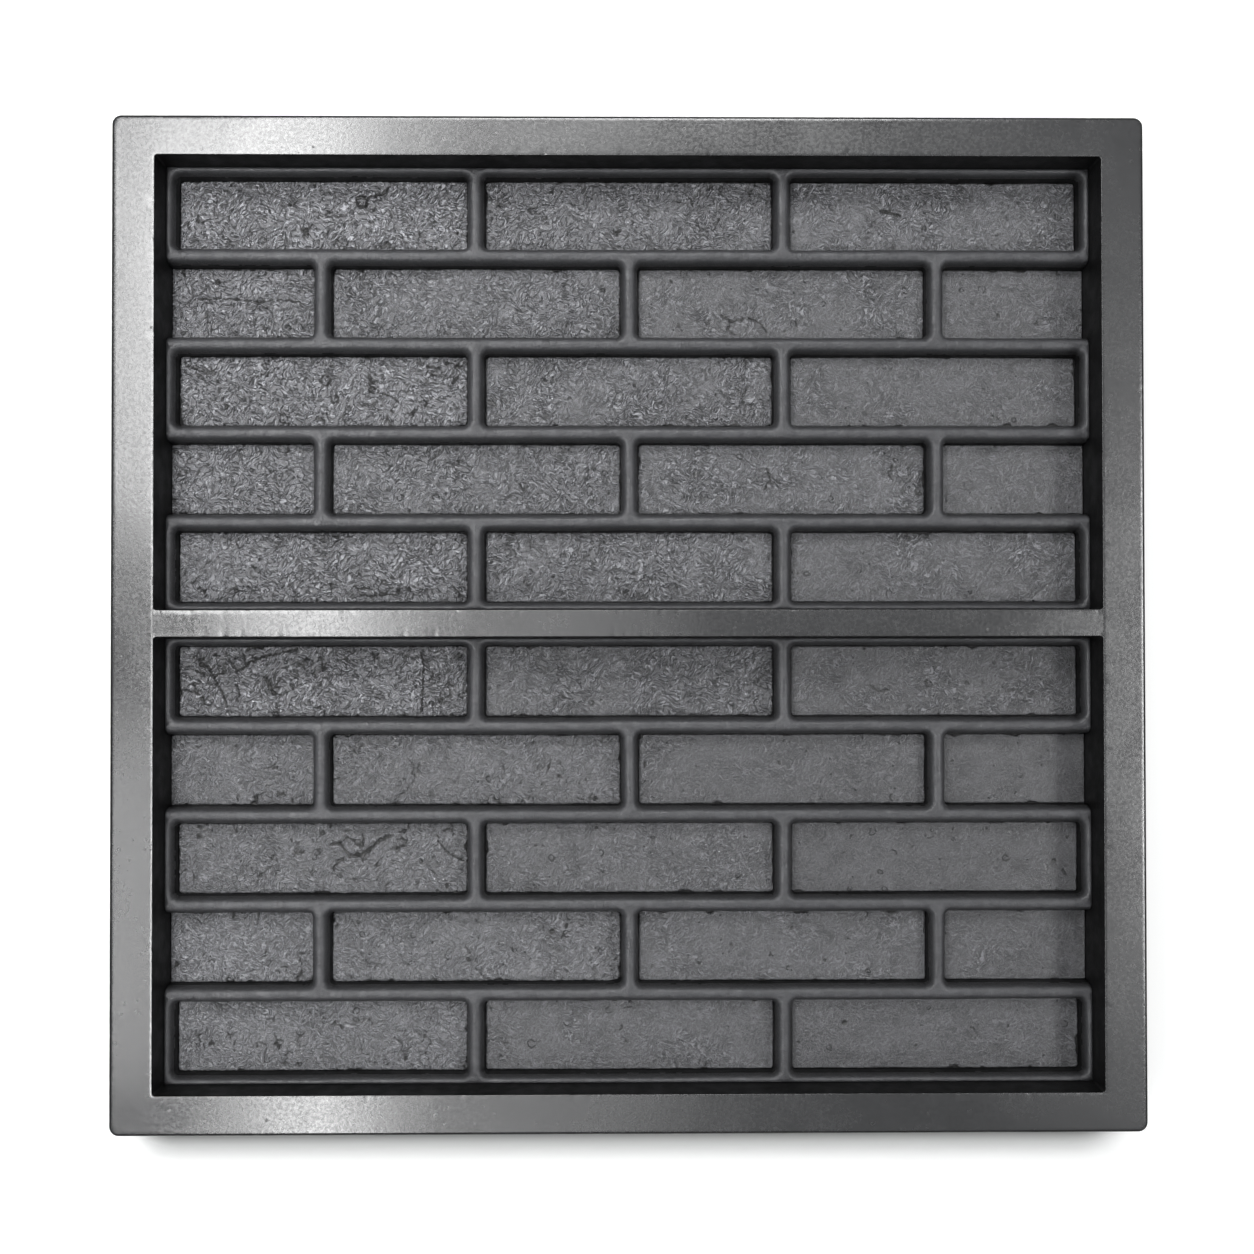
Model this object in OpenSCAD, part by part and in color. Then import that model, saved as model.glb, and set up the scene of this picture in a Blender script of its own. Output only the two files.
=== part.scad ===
// Brick-pattern stamp mat, lying on its back with the pattern up.
// A rigid frame and its divider bar clamp two flexible brick relief mats to a backing board.
// The origin is the middle of the board's back face. X runs along the courses, Y across them.

/* [Brick pattern] */
// Length of a full brick face
brick_l = 245; // [200:1:280]
// Width of a brick face across its course
brick_w = 60; // [48:1:75]
// Width of a joint ridge at its foot
joint_w = 15; // [13:0.5:18]
// Full bricks in the longest course
bricks = 3; // [2:1:4]
// Courses in each mat, always an odd number
courses = 5; // [3:2:7]
// Width of the bead between the last full brick and the end wall
end_bead_w = 6.5; // [4:0.5:9]
// Width of the bead along the first and last course
edge_bead_w = 6; // [4:0.5:9]
// Height of the joint ridges above the brick faces
ridge_h = 16; // [10:0.5:18]
// Radius of the rounded shoulders of a ridge
shoulder_r = 5.5; // [3:0.1:6]
// Lean of a ridge's flanks from upright, in degrees
flank_lean = 5; // [2:0.5:7]
// Radius of a brick face's corners in plan
brick_corner_r = 3.5; // [2.5:0.1:6]

/* [Mats] */
// Thickness of a mat under its brick faces
mat_base_t = 10; // [6:0.5:14]
// Width of the mat's flange under the frame
flange_w = 12; // [6:0.5:14]
// Width of the mat's flange under the divider bar
bar_flange_w = 6; // [3:0.5:6.5]
// Gap round a mat, between it and the frame
mat_gap = 0.3; // [0.2:0.05:0.6]

/* [Frame] */
// Width of the frame's left and right members, on their top face
stile_w = 35.5; // [32:0.5:60]
// Width of the frame's upper and lower members, on their top face
rail_w = 33; // [32:0.5:60]
// Width of the divider bar on its top face
divider_w = 22; // [22:0.5:40]
// Height of the frame above the ridge crowns
wall_rise = 28; // [10:0.5:40]
// How far the inner walls lean out from foot to top
wall_lean = 1.5; // [1:0.1:4]
// Radius of the inner corners at the foot of the walls
tray_corner_r = 1; // [0.6:0.1:3]
// Radius of the outer corners in plan
outer_corner_r = 8; // [5:0.5:14]
// Radius of the rounded outer top edge
outer_edge_r = 3; // [1:0.5:4.5]

/* [Divider joint] */
// Length of the tenon at each end of the divider bar
tenon_l = 12; // [6:0.5:14]
// Width of the tenon
tenon_w = 12; // [8:0.5:13]
// Height of the tenon
tenon_h = 24; // [16:0.5:26]
// Clearance between a tenon and its mortise
tenon_gap = 0.2; // [0.1:0.05:0.4]

/* [Backing board] */
// Thickness of the backing board
board_t = 12; // [9:0.5:18]
// Distance from the frame's outer face in to the board's edge
board_inset = 2; // [0:0.5:5]

/* [Screws and inserts] */
// Thread diameter of the screws
screw_d = 6; // [5:0.5:6]
// Head diameter of the screws
screw_head_d = 12; // [10:0.5:13]
// Depth of a head's top face below the board's back face
head_sink = 0.3; // [0:0.1:1]
// Width across the flats of the hexagon socket
socket_w = 4; // [3:0.5:4]
// Depth of the hexagon socket
socket_h = 2.2; // [1:0.1:2.5]
// Outer diameter of a threaded insert
insert_d = 9; // [8:0.5:9]
// Length of a threaded insert
insert_l = 12; // [8:0.5:14]
// Radial clearance of screws in inserts, and of inserts in their holes
fit_gap = 0.05; // [0.03:0.01:0.1]
// Radial clearance of screws in the board
board_hole_gap = 0.3; // [0.2:0.05:0.5]
// Distance from the frame's outer face in to the screw line
screw_edge = 12; // [9:0.5:12]
// Screws along each rail, corner screws included
rail_screws = 5; // [3:1:7]
// Screws along each stile, corner screws included
stile_screws = 5; // [3:1:7]
// Screws along the divider bar
bar_screws = 5; // [3:1:7]
// Distance from the end wall's foot in to the divider bar's first screw
bar_screw_edge = 30; // [15:1:60]

/* [Hidden] */
$fn = 48;
cut = 1;
hole_floor = 3;
insert_waist = 0.6;
fillet_trim = 0.3;

// The brick pattern and the tray that holds it
pitch_x = brick_l + joint_w;
pitch_y = brick_w + joint_w;
floor_l = bricks * brick_l + (bricks - 1) * joint_w + 2 * end_bead_w;
floor_w = courses * brick_w + (courses - 1) * joint_w + 2 * edge_bead_w;
half_brick_l = floor_l / 2 - (bricks - 1) / 2 * pitch_x - joint_w / 2;

// Levels above the board's back face
brick_z = board_t + mat_base_t;
crown_z = brick_z + ridge_h;
top_z = crown_z + wall_rise;
wall_h = top_z - brick_z;
wall_slope = wall_lean / wall_h;

// The frame round two trays, with the divider bar between them
bar_foot_w = divider_w + 2 * wall_lean;
tray_y = (bar_foot_w + floor_w) / 2;
inner_w = 2 * floor_w + bar_foot_w;
outer_l = floor_l + 2 * (wall_lean + stile_w);
outer_w = inner_w + 2 * (wall_lean + rail_w);

// A ridge's shoulder touches its flank at the point where the two are tangent
shoulder_limit = joint_w / 2 - 0.4 - ridge_h * tan(flank_lean);
ridge_r = min(shoulder_r, shoulder_limit, ridge_h / 2);
tangent_z = ridge_h - ridge_r + ridge_r * sin(flank_lean);
tangent_x = tangent_z * tan(flank_lean);
shoulder_x = tangent_x + ridge_r * cos(flank_lean);

// Screw places
screw_x = outer_l / 2 - screw_edge;
screw_y = outer_w / 2 - screw_edge;
bar_screw_x = floor_l / 2 - bar_screw_edge;
head_h = (screw_head_d - screw_d) / 2;
screw_end_z = board_t + insert_l;

function spread(reach, count) = [for (i = [0 : count - 1]) -reach + 2 * reach * i / (count - 1)];

rail_points = [for (x = spread(screw_x, rail_screws), side = [-1, 1]) [x, side * screw_y]];
stile_rows = spread(screw_y, stile_screws);
stile_points = [for (i = [1 : stile_screws - 2], side = [-1, 1]) [side * screw_x, stile_rows[i]]];
frame_points = concat(rail_points, stile_points);
bar_points = [for (x = spread(bar_screw_x, bar_screws)) [x, 0]];

// Fills a rounded rectangle of length l, width w and corner radius r.
// The child is the section of its rim, drawn outwards from the corner's centre.
module rimmed_slab(l, w, r, h) {
    translate([r - l / 2, r - w / 2, 0]) cube([l - 2 * r, w - 2 * r, h]);
    for (k = [0 : 3]) {
        a = k % 2 == 0 ? l : w;
        b = k % 2 == 0 ? w : l;
        rotate(90 * k) translate([a / 2 - r, b / 2 - r, 0]) {
            rotate([90, 0, 0]) linear_extrude(b - 2 * r) children();
            rotate_extrude(angle = 90) children();
        }
    }
}

// Rim section whose edge leans out by slope for each unit of height
module leaning_rim(r, h, slope) {
    polygon([[0, 0], [r, 0], [r + h * slope, h], [0, h]]);
}

// Rim section with a rounded upper edge
module rounded_rim(r, h, edge_r) {
    polygon([[0, 0], [r, 0], [r, h - edge_r], [r - edge_r, h - edge_r], [r - edge_r, h], [0, h]]);
    intersection() {
        translate([r - edge_r, h - edge_r]) circle(edge_r);
        translate([r - edge_r, h - edge_r]) square(edge_r);
    }
}

// Rim section of a brick pocket: a leaning flank that rolls over the ridge's shoulder
module pocket_rim(r) {
    difference() {
        polygon([
            [0, 0], [r, 0], [r + tangent_x, tangent_z], [r + shoulder_x, ridge_h - ridge_r],
            [r + shoulder_x, ridge_h + cut], [0, ridge_h + cut]
        ]);
        translate([r + shoulder_x, ridge_h - ridge_r]) circle(ridge_r);
    }
}

module brick_pocket(l) {
    rimmed_slab(l, brick_w, brick_corner_r, ridge_h + cut) pocket_rim(brick_corner_r);
}

// Courses alternate: full bricks only, then full bricks between two half bricks
module brick_pockets() {
    for (row = [0 : courses - 1]) {
        y = edge_bead_w + brick_w / 2 + row * pitch_y - floor_w / 2;
        full = row % 2 == 0 ? bricks : bricks - 1;
        for (i = [0 : full - 1]) translate([(i - (full - 1) / 2) * pitch_x, y, 0]) brick_pocket(brick_l);
        if (row % 2 == 1) {
            for (side = [-1, 1]) {
                x = side * (floor_l / 2 + flange_w - (half_brick_l + flange_w) / 2);
                translate([x, y, 0]) brick_pocket(half_brick_l + flange_w);
            }
        }
    }
}

// One mat, with its narrow flange towards the divider bar, at -Y
module brick_mat() {
    base_l = floor_l + 2 * flange_w - 2 * mat_gap;
    base_w = floor_w + flange_w + bar_flange_w - 2 * mat_gap;
    translate([-base_l / 2, mat_gap - floor_w / 2 - bar_flange_w, 0]) cube([base_l, base_w, mat_base_t]);
    translate([0, 0, mat_base_t]) difference() {
        rimmed_slab(floor_l - 2 * mat_gap, floor_w - 2 * mat_gap, tray_corner_r, ridge_h)
            leaning_rim(tray_corner_r, ridge_h, wall_slope);
        brick_pockets();
    }
}

// The open space of one tray above the brick faces
module tray_space() {
    rimmed_slab(floor_l, floor_w, tray_corner_r, wall_h + cut)
        leaning_rim(tray_corner_r, wall_h + cut, wall_slope);
}

module insert_holes(points) {
    for (p = points) {
        translate([p[0], p[1], board_t - cut])
            cylinder(d = insert_d + 2 * fit_gap, h = insert_l + hole_floor + cut);
    }
}

module screws(points) {
    for (p = points) {
        translate([p[0], p[1], head_sink]) difference() {
            union() {
                cylinder(d1 = screw_head_d, d2 = screw_d, h = head_h);
                cylinder(d = screw_d, h = screw_end_z - head_sink);
            }
            translate([0, 0, -cut]) cylinder(d = socket_w / cos(30), h = socket_h + cut, $fn = 6);
        }
    }
}

module inserts(points) {
    bore_r = screw_d / 2 + fit_gap;
    waist_r = insert_d / 2 - insert_waist;
    for (p = points) {
        translate([p[0], p[1], board_t]) rotate_extrude() polygon([
            [bore_r, 0], [insert_d / 2, 0], [insert_d / 2, insert_l * 0.4], [waist_r, insert_l * 0.45],
            [waist_r, insert_l * 0.55], [insert_d / 2, insert_l * 0.6], [insert_d / 2, insert_l],
            [bore_r, insert_l]
        ]);
    }
}

module outer_frame() {
    rebate_l = floor_l + 2 * flange_w;
    rebate_w = inner_w + 2 * flange_w;
    mortise_l = floor_l + 2 * (tenon_l + tenon_gap);
    mortise_w = tenon_w + 2 * tenon_gap;
    color("#33353a") difference() {
        translate([0, 0, board_t]) rimmed_slab(outer_l, outer_w, outer_corner_r, top_z - board_t)
            rounded_rim(outer_corner_r, top_z - board_t, outer_edge_r);
        translate([0, 0, brick_z]) rimmed_slab(floor_l, inner_w, tray_corner_r, wall_h + cut)
            leaning_rim(tray_corner_r, wall_h + cut, wall_slope);
        translate([-rebate_l / 2, -rebate_w / 2, board_t - cut]) cube([rebate_l, rebate_w, mat_base_t + cut]);
        translate([-mortise_l / 2, -mortise_w / 2, board_t - cut])
            cube([mortise_l, mortise_w, tenon_h + tenon_gap + cut]);
        insert_holes(frame_points);
    }
}

// The bar fills the frame's opening between the two trays and keeps their rounded corners
module divider_bar() {
    land_w = bar_foot_w - 2 * bar_flange_w;
    bar_w = bar_foot_w + 2 * (tray_corner_r - fillet_trim);
    color("#3a3c41") difference() {
        union() {
            intersection() {
                translate([0, 0, brick_z]) rimmed_slab(floor_l, inner_w, tray_corner_r, wall_h)
                    leaning_rim(tray_corner_r, wall_h, wall_slope);
                translate([-outer_l / 2, -bar_w / 2, brick_z]) cube([outer_l, bar_w, wall_h]);
            }
            translate([-floor_l / 2, -land_w / 2, board_t]) cube([floor_l, land_w, mat_base_t]);
            translate([-floor_l / 2 - tenon_l, -tenon_w / 2, board_t])
                cube([floor_l + 2 * tenon_l, tenon_w, tenon_h]);
        }
        for (side = [-1, 1]) translate([0, side * tray_y, brick_z]) tray_space();
        insert_holes(bar_points);
    }
}

module upper_brick_mat() {
    color("#26282c") translate([0, tray_y, board_t]) brick_mat();
}

module lower_brick_mat() {
    color("#26282c") translate([0, -tray_y, board_t]) rotate(180) brick_mat();
}

module backing_board() {
    board_l = outer_l - 2 * board_inset;
    board_w = outer_w - 2 * board_inset;
    color("#5b4636") difference() {
        rimmed_slab(board_l, board_w, outer_corner_r, board_t) leaning_rim(outer_corner_r, board_t, 0);
        for (p = concat(frame_points, bar_points)) translate([p[0], p[1], 0]) {
            translate([0, 0, -cut]) cylinder(r = screw_d / 2 + board_hole_gap, h = board_t + 2 * cut);
            cylinder(d1 = screw_head_d + 2 * head_sink, d2 = screw_d, h = head_h + head_sink);
        }
    }
}

module frame_screws() {
    color("#9a9ca0") screws(frame_points);
}

module frame_inserts() {
    color("#b08d4a") inserts(frame_points);
}

module divider_screws() {
    color("#9a9ca0") screws(bar_points);
}

module divider_inserts() {
    color("#b08d4a") inserts(bar_points);
}

outer_frame();
divider_bar();
upper_brick_mat();
lower_brick_mat();
backing_board();
frame_screws();
frame_inserts();
divider_screws();
divider_inserts();
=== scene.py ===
import math

import bmesh
import bpy
import numpy as np
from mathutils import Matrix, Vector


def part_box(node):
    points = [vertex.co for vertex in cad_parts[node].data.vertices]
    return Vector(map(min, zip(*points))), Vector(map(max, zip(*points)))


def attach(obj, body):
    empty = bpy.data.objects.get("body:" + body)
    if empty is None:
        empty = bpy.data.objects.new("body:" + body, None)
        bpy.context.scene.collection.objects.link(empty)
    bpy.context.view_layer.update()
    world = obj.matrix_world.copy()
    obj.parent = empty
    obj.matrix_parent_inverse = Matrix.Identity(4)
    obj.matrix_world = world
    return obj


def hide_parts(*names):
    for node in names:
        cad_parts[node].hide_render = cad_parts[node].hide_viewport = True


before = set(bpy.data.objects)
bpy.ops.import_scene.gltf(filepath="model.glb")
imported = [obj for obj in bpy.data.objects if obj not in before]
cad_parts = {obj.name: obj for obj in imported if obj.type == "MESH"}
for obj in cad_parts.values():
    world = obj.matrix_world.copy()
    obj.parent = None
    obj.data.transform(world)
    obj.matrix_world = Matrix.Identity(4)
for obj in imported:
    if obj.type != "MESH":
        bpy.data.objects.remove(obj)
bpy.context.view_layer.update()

MM = 0.001

# Brick pattern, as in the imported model
BRICK_L, BRICK_W = 245 * MM, 60 * MM
JOINT_W = 15 * MM
BRICKS, COURSES = 3, 5
EDGE_BEAD_W = 6 * MM
BRICK_CORNER_R = 3.5 * MM

# Mats and the members that hold them
MAT_GAP = 0.3 * MM
MAT_BASE_T = 10 * MM
FLANGE_W, BAR_FLANGE_W = 12 * MM, 6 * MM
STILE_W, RAIL_W, DIVIDER_W = 35.5 * MM, 33 * MM, 22 * MM
WALL_LEAN = 1.5 * MM
TRAY_CORNER_R = 1 * MM
OUTER_CORNER_R, OUTER_EDGE_R = 8 * MM, 3 * MM
INNER_LIP_R = 0.45 * MM

# Levels and overall sizes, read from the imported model
BOARD_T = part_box("backing_board")[1].z
CROWN_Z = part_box("upper_brick_mat")[1].z
OUTER_HALF = (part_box("outer_frame")[1].x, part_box("outer_frame")[1].y)
TOP_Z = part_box("outer_frame")[1].z
BRICK_Z = BOARD_T + MAT_BASE_T
RIDGE_H = CROWN_Z - BRICK_Z
WALL_H = TOP_Z - BRICK_Z
WALL_SLOPE = WALL_LEAN / WALL_H

PITCH_X, PITCH_Y = BRICK_L + JOINT_W, BRICK_W + JOINT_W
FLOOR_HALF_L = OUTER_HALF[0] - STILE_W - WALL_LEAN
INNER_HALF_W = OUTER_HALF[1] - RAIL_W - WALL_LEAN
BAR_FOOT_W = DIVIDER_W + 2 * WALL_LEAN
FLOOR_W = INNER_HALF_W - BAR_FOOT_W / 2
TRAY_Y = (BAR_FOOT_W + FLOOR_W) / 2
MAT_HALF = (FLOOR_HALF_L - MAT_GAP, FLOOR_W / 2 - MAT_GAP)

# The joint beads' section: 2 is a half ellipse, more is fuller at the shoulders
BEAD_FULLNESS = 2.35

# How far the pocket floors lie under the brick faces, and the faces reach into the ridges
FLOOR_SINK = 1.6 * MM
FACE_REACH = 1.5 * MM
FACE_BOTTOM_Z = BRICK_Z - 2.1 * MM

# The levels of a wall's points, from the rim down to the brick faces
WALL_LEVELS = [TOP_Z - 1.6 * MM, TOP_Z - 6 * MM, *np.linspace(TOP_Z - 16 * MM, BRICK_Z, 4)]

# How closely two points have to lie to count as one
TOUCH = 1e-6


class Nodes:
    """Adds nodes to one tree. An input is a number, a vector, a name or another node's output."""

    def __init__(self, tree):
        self.tree = tree

    def join(self, value, socket):
        self.tree.links.new(value, socket)

    def add(self, kind, inputs=None, **settings):
        node = self.tree.nodes.new(kind)
        for key, value in settings.items():
            setattr(node, key, value)
        for key, value in (inputs or {}).items():
            if isinstance(value, bpy.types.NodeSocket):
                self.join(value, node.inputs[key])
            else:
                node.inputs[key].default_value = value
        return node

    def group(self, tree, inputs):
        """The outputs of a node group placed in this tree."""
        kind = tree.bl_idname.removesuffix("Tree") + "Group"
        return self.add(kind, inputs, node_tree=tree).outputs

    def math(self, operation, *values):
        return self.add("ShaderNodeMath", dict(enumerate(values)), operation=operation).outputs[0]

    def times(self, first, *others):
        for other in others:
            first = self.math("MULTIPLY", first, other)
        return first

    def plus(self, first, second):
        return self.math("ADD", first, second)

    def minus(self, first, second):
        return self.math("SUBTRACT", first, second)

    def centred(self, value):
        """A noise value about zero."""
        return self.minus(value, 0.5)

    def from_centre(self, value):
        """How far a noise value is from its middle, either way. It is 0 along wandering lines."""
        return self.math("ABSOLUTE", self.centred(value))

    def vector(self, operation, *values):
        return self.add("ShaderNodeVectorMath", dict(enumerate(values)), operation=operation).outputs[0]

    def scaled(self, vector, factor):
        inputs = {"Vector": vector, "Scale": factor}
        return self.add("ShaderNodeVectorMath", inputs, operation="SCALE").outputs[0]

    def parts(self, vector):
        """The X, Y and Z of a vector, or the channels of a colour."""
        return self.add("ShaderNodeSeparateXYZ", {0: vector}).outputs

    def point(self, x=0.0, y=0.0, z=0.0):
        return self.add("ShaderNodeCombineXYZ", {0: x, 1: y, 2: z}).outputs[0]

    def ramp(self, value, low, high, to_low=0.0, to_high=1.0):
        """A smooth step from to_low to to_high as value goes from low to high."""
        inputs = {"Value": value, "From Min": low, "From Max": high, "To Min": to_low, "To Max": to_high}
        return self.add("ShaderNodeMapRange", inputs, interpolation_type="SMOOTHSTEP").outputs[0]

    def noise(self, vector, scale, detail=2.0, distortion=0.0, roughness=0.5, output=0):
        inputs = {"Vector": vector, "Scale": scale, "Detail": detail, "Distortion": distortion,
                  "Roughness": roughness}
        return self.add("ShaderNodeTexNoise", inputs).outputs[output]

    def spots(self, vector, scale):
        """Scattered cells: the distance from each one's middle, and its own random colour."""
        return self.add("ShaderNodeTexVoronoi", {"Vector": vector, "Scale": scale}).outputs

    def sway(self, place, scale):
        """A random vector about zero that changes slowly from place to place."""
        return self.vector("SUBTRACT", self.noise(place, scale, output="Color"), (0.5, 0.5, 0.5))

    def warped(self, place, scale, reach):
        """The place, pushed about by a noise."""
        return self.vector("ADD", place, self.scaled(self.sway(place, scale), reach))


def new_tree(name, kind, inputs, outputs):
    """A node group with named sockets. inputs are (name, socket kind, value), outputs (name, kind)."""
    tree = bpy.data.node_groups.new(name, kind)
    for label, socket_kind, value in inputs:
        socket = tree.interface.new_socket(label, in_out="INPUT", socket_type="NodeSocket" + socket_kind)
        if value is not None:
            socket.default_value = value
    for label, socket_kind in outputs:
        tree.interface.new_socket(label, in_out="OUTPUT", socket_type="NodeSocket" + socket_kind)
    nodes = Nodes(tree)
    return tree, nodes, nodes.add("NodeGroupInput").outputs, nodes.add("NodeGroupOutput").inputs


# Effects shared by the finishes

def moulded_grain():
    """Fine curly grain of a moulded skin, with a coarser swell under it."""
    tree, nodes, given, out = new_tree(
        "moulded_grain", "ShaderNodeTree",
        [("Vector", "Vector", None), ("Grain scale", "Float", 420.0), ("Swell scale", "Float", 60.0)],
        [("Height", "Float"), ("Mottle", "Float")])
    warp = nodes.noise(given["Vector"], given["Swell scale"], output="Color")
    bent = nodes.vector("ADD", given["Vector"], nodes.scaled(warp, 0.006))
    curl = nodes.from_centre(nodes.noise(bent, given["Grain scale"], 2.0, 0.6))
    strokes = nodes.ramp(curl, 0.0, 0.09, 1.0, 0.0)
    swell = nodes.noise(given["Vector"], given["Swell scale"], 3.0)
    nodes.join(nodes.plus(strokes, nodes.times(swell, 2.0)), out["Height"])
    nodes.join(swell, out["Mottle"])
    return tree


def handling_marks():
    """Smudges, fine scratches along the members and small specks, which the frame's finish sinks as pits
    and paints dark as shade.
    """
    tree, nodes, given, out = new_tree(
        "handling_marks", "ShaderNodeTree",
        [("Vector", "Vector", None), ("Smudge scale", "Float", 14.0), ("Scratch scale", "Float", 90.0)],
        [("Smudge", "Float"), ("Scratch", "Float"), ("Speck", "Float")])
    cloud = nodes.noise(given["Vector"], given["Smudge scale"], 5.0, 0.4, 0.6)
    nodes.join(nodes.ramp(cloud, 0.36, 0.66), out["Smudge"])
    lines = []
    for stretch in ((0.05, 1.0, 1.0), (1.0, 0.05, 1.0)):
        drawn = nodes.vector("MULTIPLY", given["Vector"], stretch)
        lines.append(nodes.ramp(nodes.noise(drawn, given["Scratch scale"], 4.0, 0.2, 0.7), 0.66, 0.74))
    nodes.join(nodes.math("MAXIMUM", *lines), out["Scratch"])
    cell = nodes.spots(given["Vector"], nodes.times(given["Scratch scale"], 0.9))
    rare = nodes.ramp(nodes.parts(cell["Color"])[0], 0.7, 0.72)
    dot = nodes.ramp(cell["Distance"], 0.04, 0.09, 1.0, 0.0)
    nodes.join(nodes.times(dot, rare), out["Speck"])
    return tree


def facing_up():
    """1 on faces that look up, 0 on upright ones."""
    tree, nodes, given, out = new_tree(
        "facing_up", "ShaderNodeTree",
        [("Normal", "Vector", None), ("From", "Float", 0.35), ("To", "Float", 0.95)], [("Mask", "Float")])
    up = nodes.parts(given["Normal"])[2]
    nodes.join(nodes.ramp(up, given["From"], given["To"]), out["Mask"])
    return tree


def brushed_strokes():
    """Short curved strokes, as raised crests with grooves between them, that turn from patch to patch."""
    tree, nodes, given, out = new_tree(
        "brushed_strokes", "ShaderNodeTree",
        [("Vector", "Vector", None), ("Stroke length", "Float", 0.0074), ("Stroke width", "Float", 0.0032)],
        [("Crest", "Float"), ("Groove", "Float")])
    bent = nodes.warped(given["Vector"], 80.0, 0.0115)
    size = nodes.point(given["Stroke length"], given["Stroke width"], given["Stroke length"])
    patch = nodes.ramp(nodes.noise(given["Vector"], 44.0, 2.0), 0.46, 0.54)
    shares = (patch, nodes.minus(1.0, patch))
    for name, shift, width in (("Crest", 0.0, 0.068), ("Groove", 4.7, 0.072)):
        lines = []
        for turn, share in zip((math.radians(56), math.radians(-20)), shares):
            laid = nodes.add("ShaderNodeMapping", {
                "Vector": bent, "Location": (shift, shift, shift), "Rotation": (0.0, 0.0, turn),
                "Scale": size}, vector_type="TEXTURE").outputs[0]
            wave = nodes.noise(laid, 1.0, 1.5, 0.4)
            line = nodes.ramp(nodes.from_centre(wave), 0.0, width, 1.0, 0.0)
            lines.append(nodes.times(line, share))
        nodes.join(nodes.plus(*lines), out[name])
    return tree


def small_dents():
    """Pinholes, and little hooks that a tool's tip leaves."""
    tree, nodes, given, out = new_tree(
        "small_dents", "ShaderNodeTree",
        [("Vector", "Vector", None), ("Hook scale", "Float", 62.0), ("Pinhole scale", "Float", 150.0)],
        [("Hooks", "Float"), ("Pinholes", "Float")])
    bent = nodes.warped(given["Vector"], 120.0, 0.006)
    hook = nodes.spots(bent, given["Hook scale"])
    odds = nodes.parts(hook["Color"])
    radius = nodes.ramp(odds[0], 0.0, 1.0, 0.08, 0.19)
    from_rim = nodes.math("ABSOLUTE", nodes.minus(hook["Distance"], radius))
    rim = nodes.ramp(from_rim, 0.015, 0.055, 1.0, 0.0)
    open_side = nodes.ramp(nodes.noise(given["Vector"], 240.0, 1.0), 0.44, 0.54)
    rare = nodes.ramp(odds[1], 0.58, 0.6)
    nodes.join(nodes.times(rim, open_side, rare), out["Hooks"])
    hole = nodes.spots(given["Vector"], given["Pinhole scale"])
    chance = nodes.parts(hole["Color"])
    size = nodes.ramp(chance[0], 0.0, 1.0, 0.07, 0.17)
    dot = nodes.ramp(nodes.math("DIVIDE", hole["Distance"], size), 0.5, 1.0, 1.0, 0.0)
    nodes.join(nodes.times(dot, nodes.ramp(chance[1], 0.6, 0.62)), out["Pinholes"])
    return tree


GRAIN, MARKS, FACING_UP = moulded_grain(), handling_marks(), facing_up()
STROKES, DENTS = brushed_strokes(), small_dents()


# Finishes

def new_finish(name):
    """A material with its Principled shader, its nodes and the place on the piece."""
    finish = bpy.data.materials.new(name)
    finish.use_nodes = True
    nodes = Nodes(finish.node_tree)
    shader = finish.node_tree.nodes["Principled BSDF"]
    place = nodes.add("ShaderNodeTexCoord").outputs
    return finish, nodes, shader, place


def mixed(nodes, factor, first, second):
    """The colour between first and second."""
    mix = nodes.add("ShaderNodeMix", {0: factor, 6: first, 7: second}, data_type="RGBA")
    return mix.outputs[2]


def grey(level, tint=1.08):
    """A cool grey: its red and green are level, and its blue a little more."""
    return (level, level * 1.01, level * tint, 1.0)


def link(nodes, value, shader, name):
    """Feeds one of the shader's inputs."""
    nodes.join(value, shader.inputs[name])


def roughened(nodes, shader, height, distance, strength):
    """Gives the surface a fine relief in its normals, from a height."""
    bump = nodes.add("ShaderNodeBump", {"Height": height, "Distance": distance, "Strength": strength})
    link(nodes, bump.outputs[0], shader, "Normal")


def marks_on(nodes, place, smudge_scale, scratch_scale):
    inputs = {"Vector": place["Object"], "Smudge scale": smudge_scale, "Scratch scale": scratch_scale}
    return nodes.group(MARKS, inputs)


def grain_on(nodes, place, grain_scale, swell_scale):
    inputs = {"Vector": place["Object"], "Grain scale": grain_scale, "Swell scale": swell_scale}
    return nodes.group(GRAIN, inputs)


def looks_up(nodes, place, low, high):
    """1 where the face's tilt is above high, 0 where it is below low."""
    return nodes.group(FACING_UP, {"Normal": place["Normal"], "From": low, "To": high})[0]


def set_gloss(shader, ior, level):
    shader.inputs["IOR"].default_value = ior
    shader.inputs["Specular IOR Level"].default_value = level


def satin(nodes, shader, grain):
    """The even satin of the rubber, a little duller in patches."""
    link(nodes, nodes.ramp(grain["Mottle"], 0.3, 0.7, 0.28, 0.44), shader, "Roughness")


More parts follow.
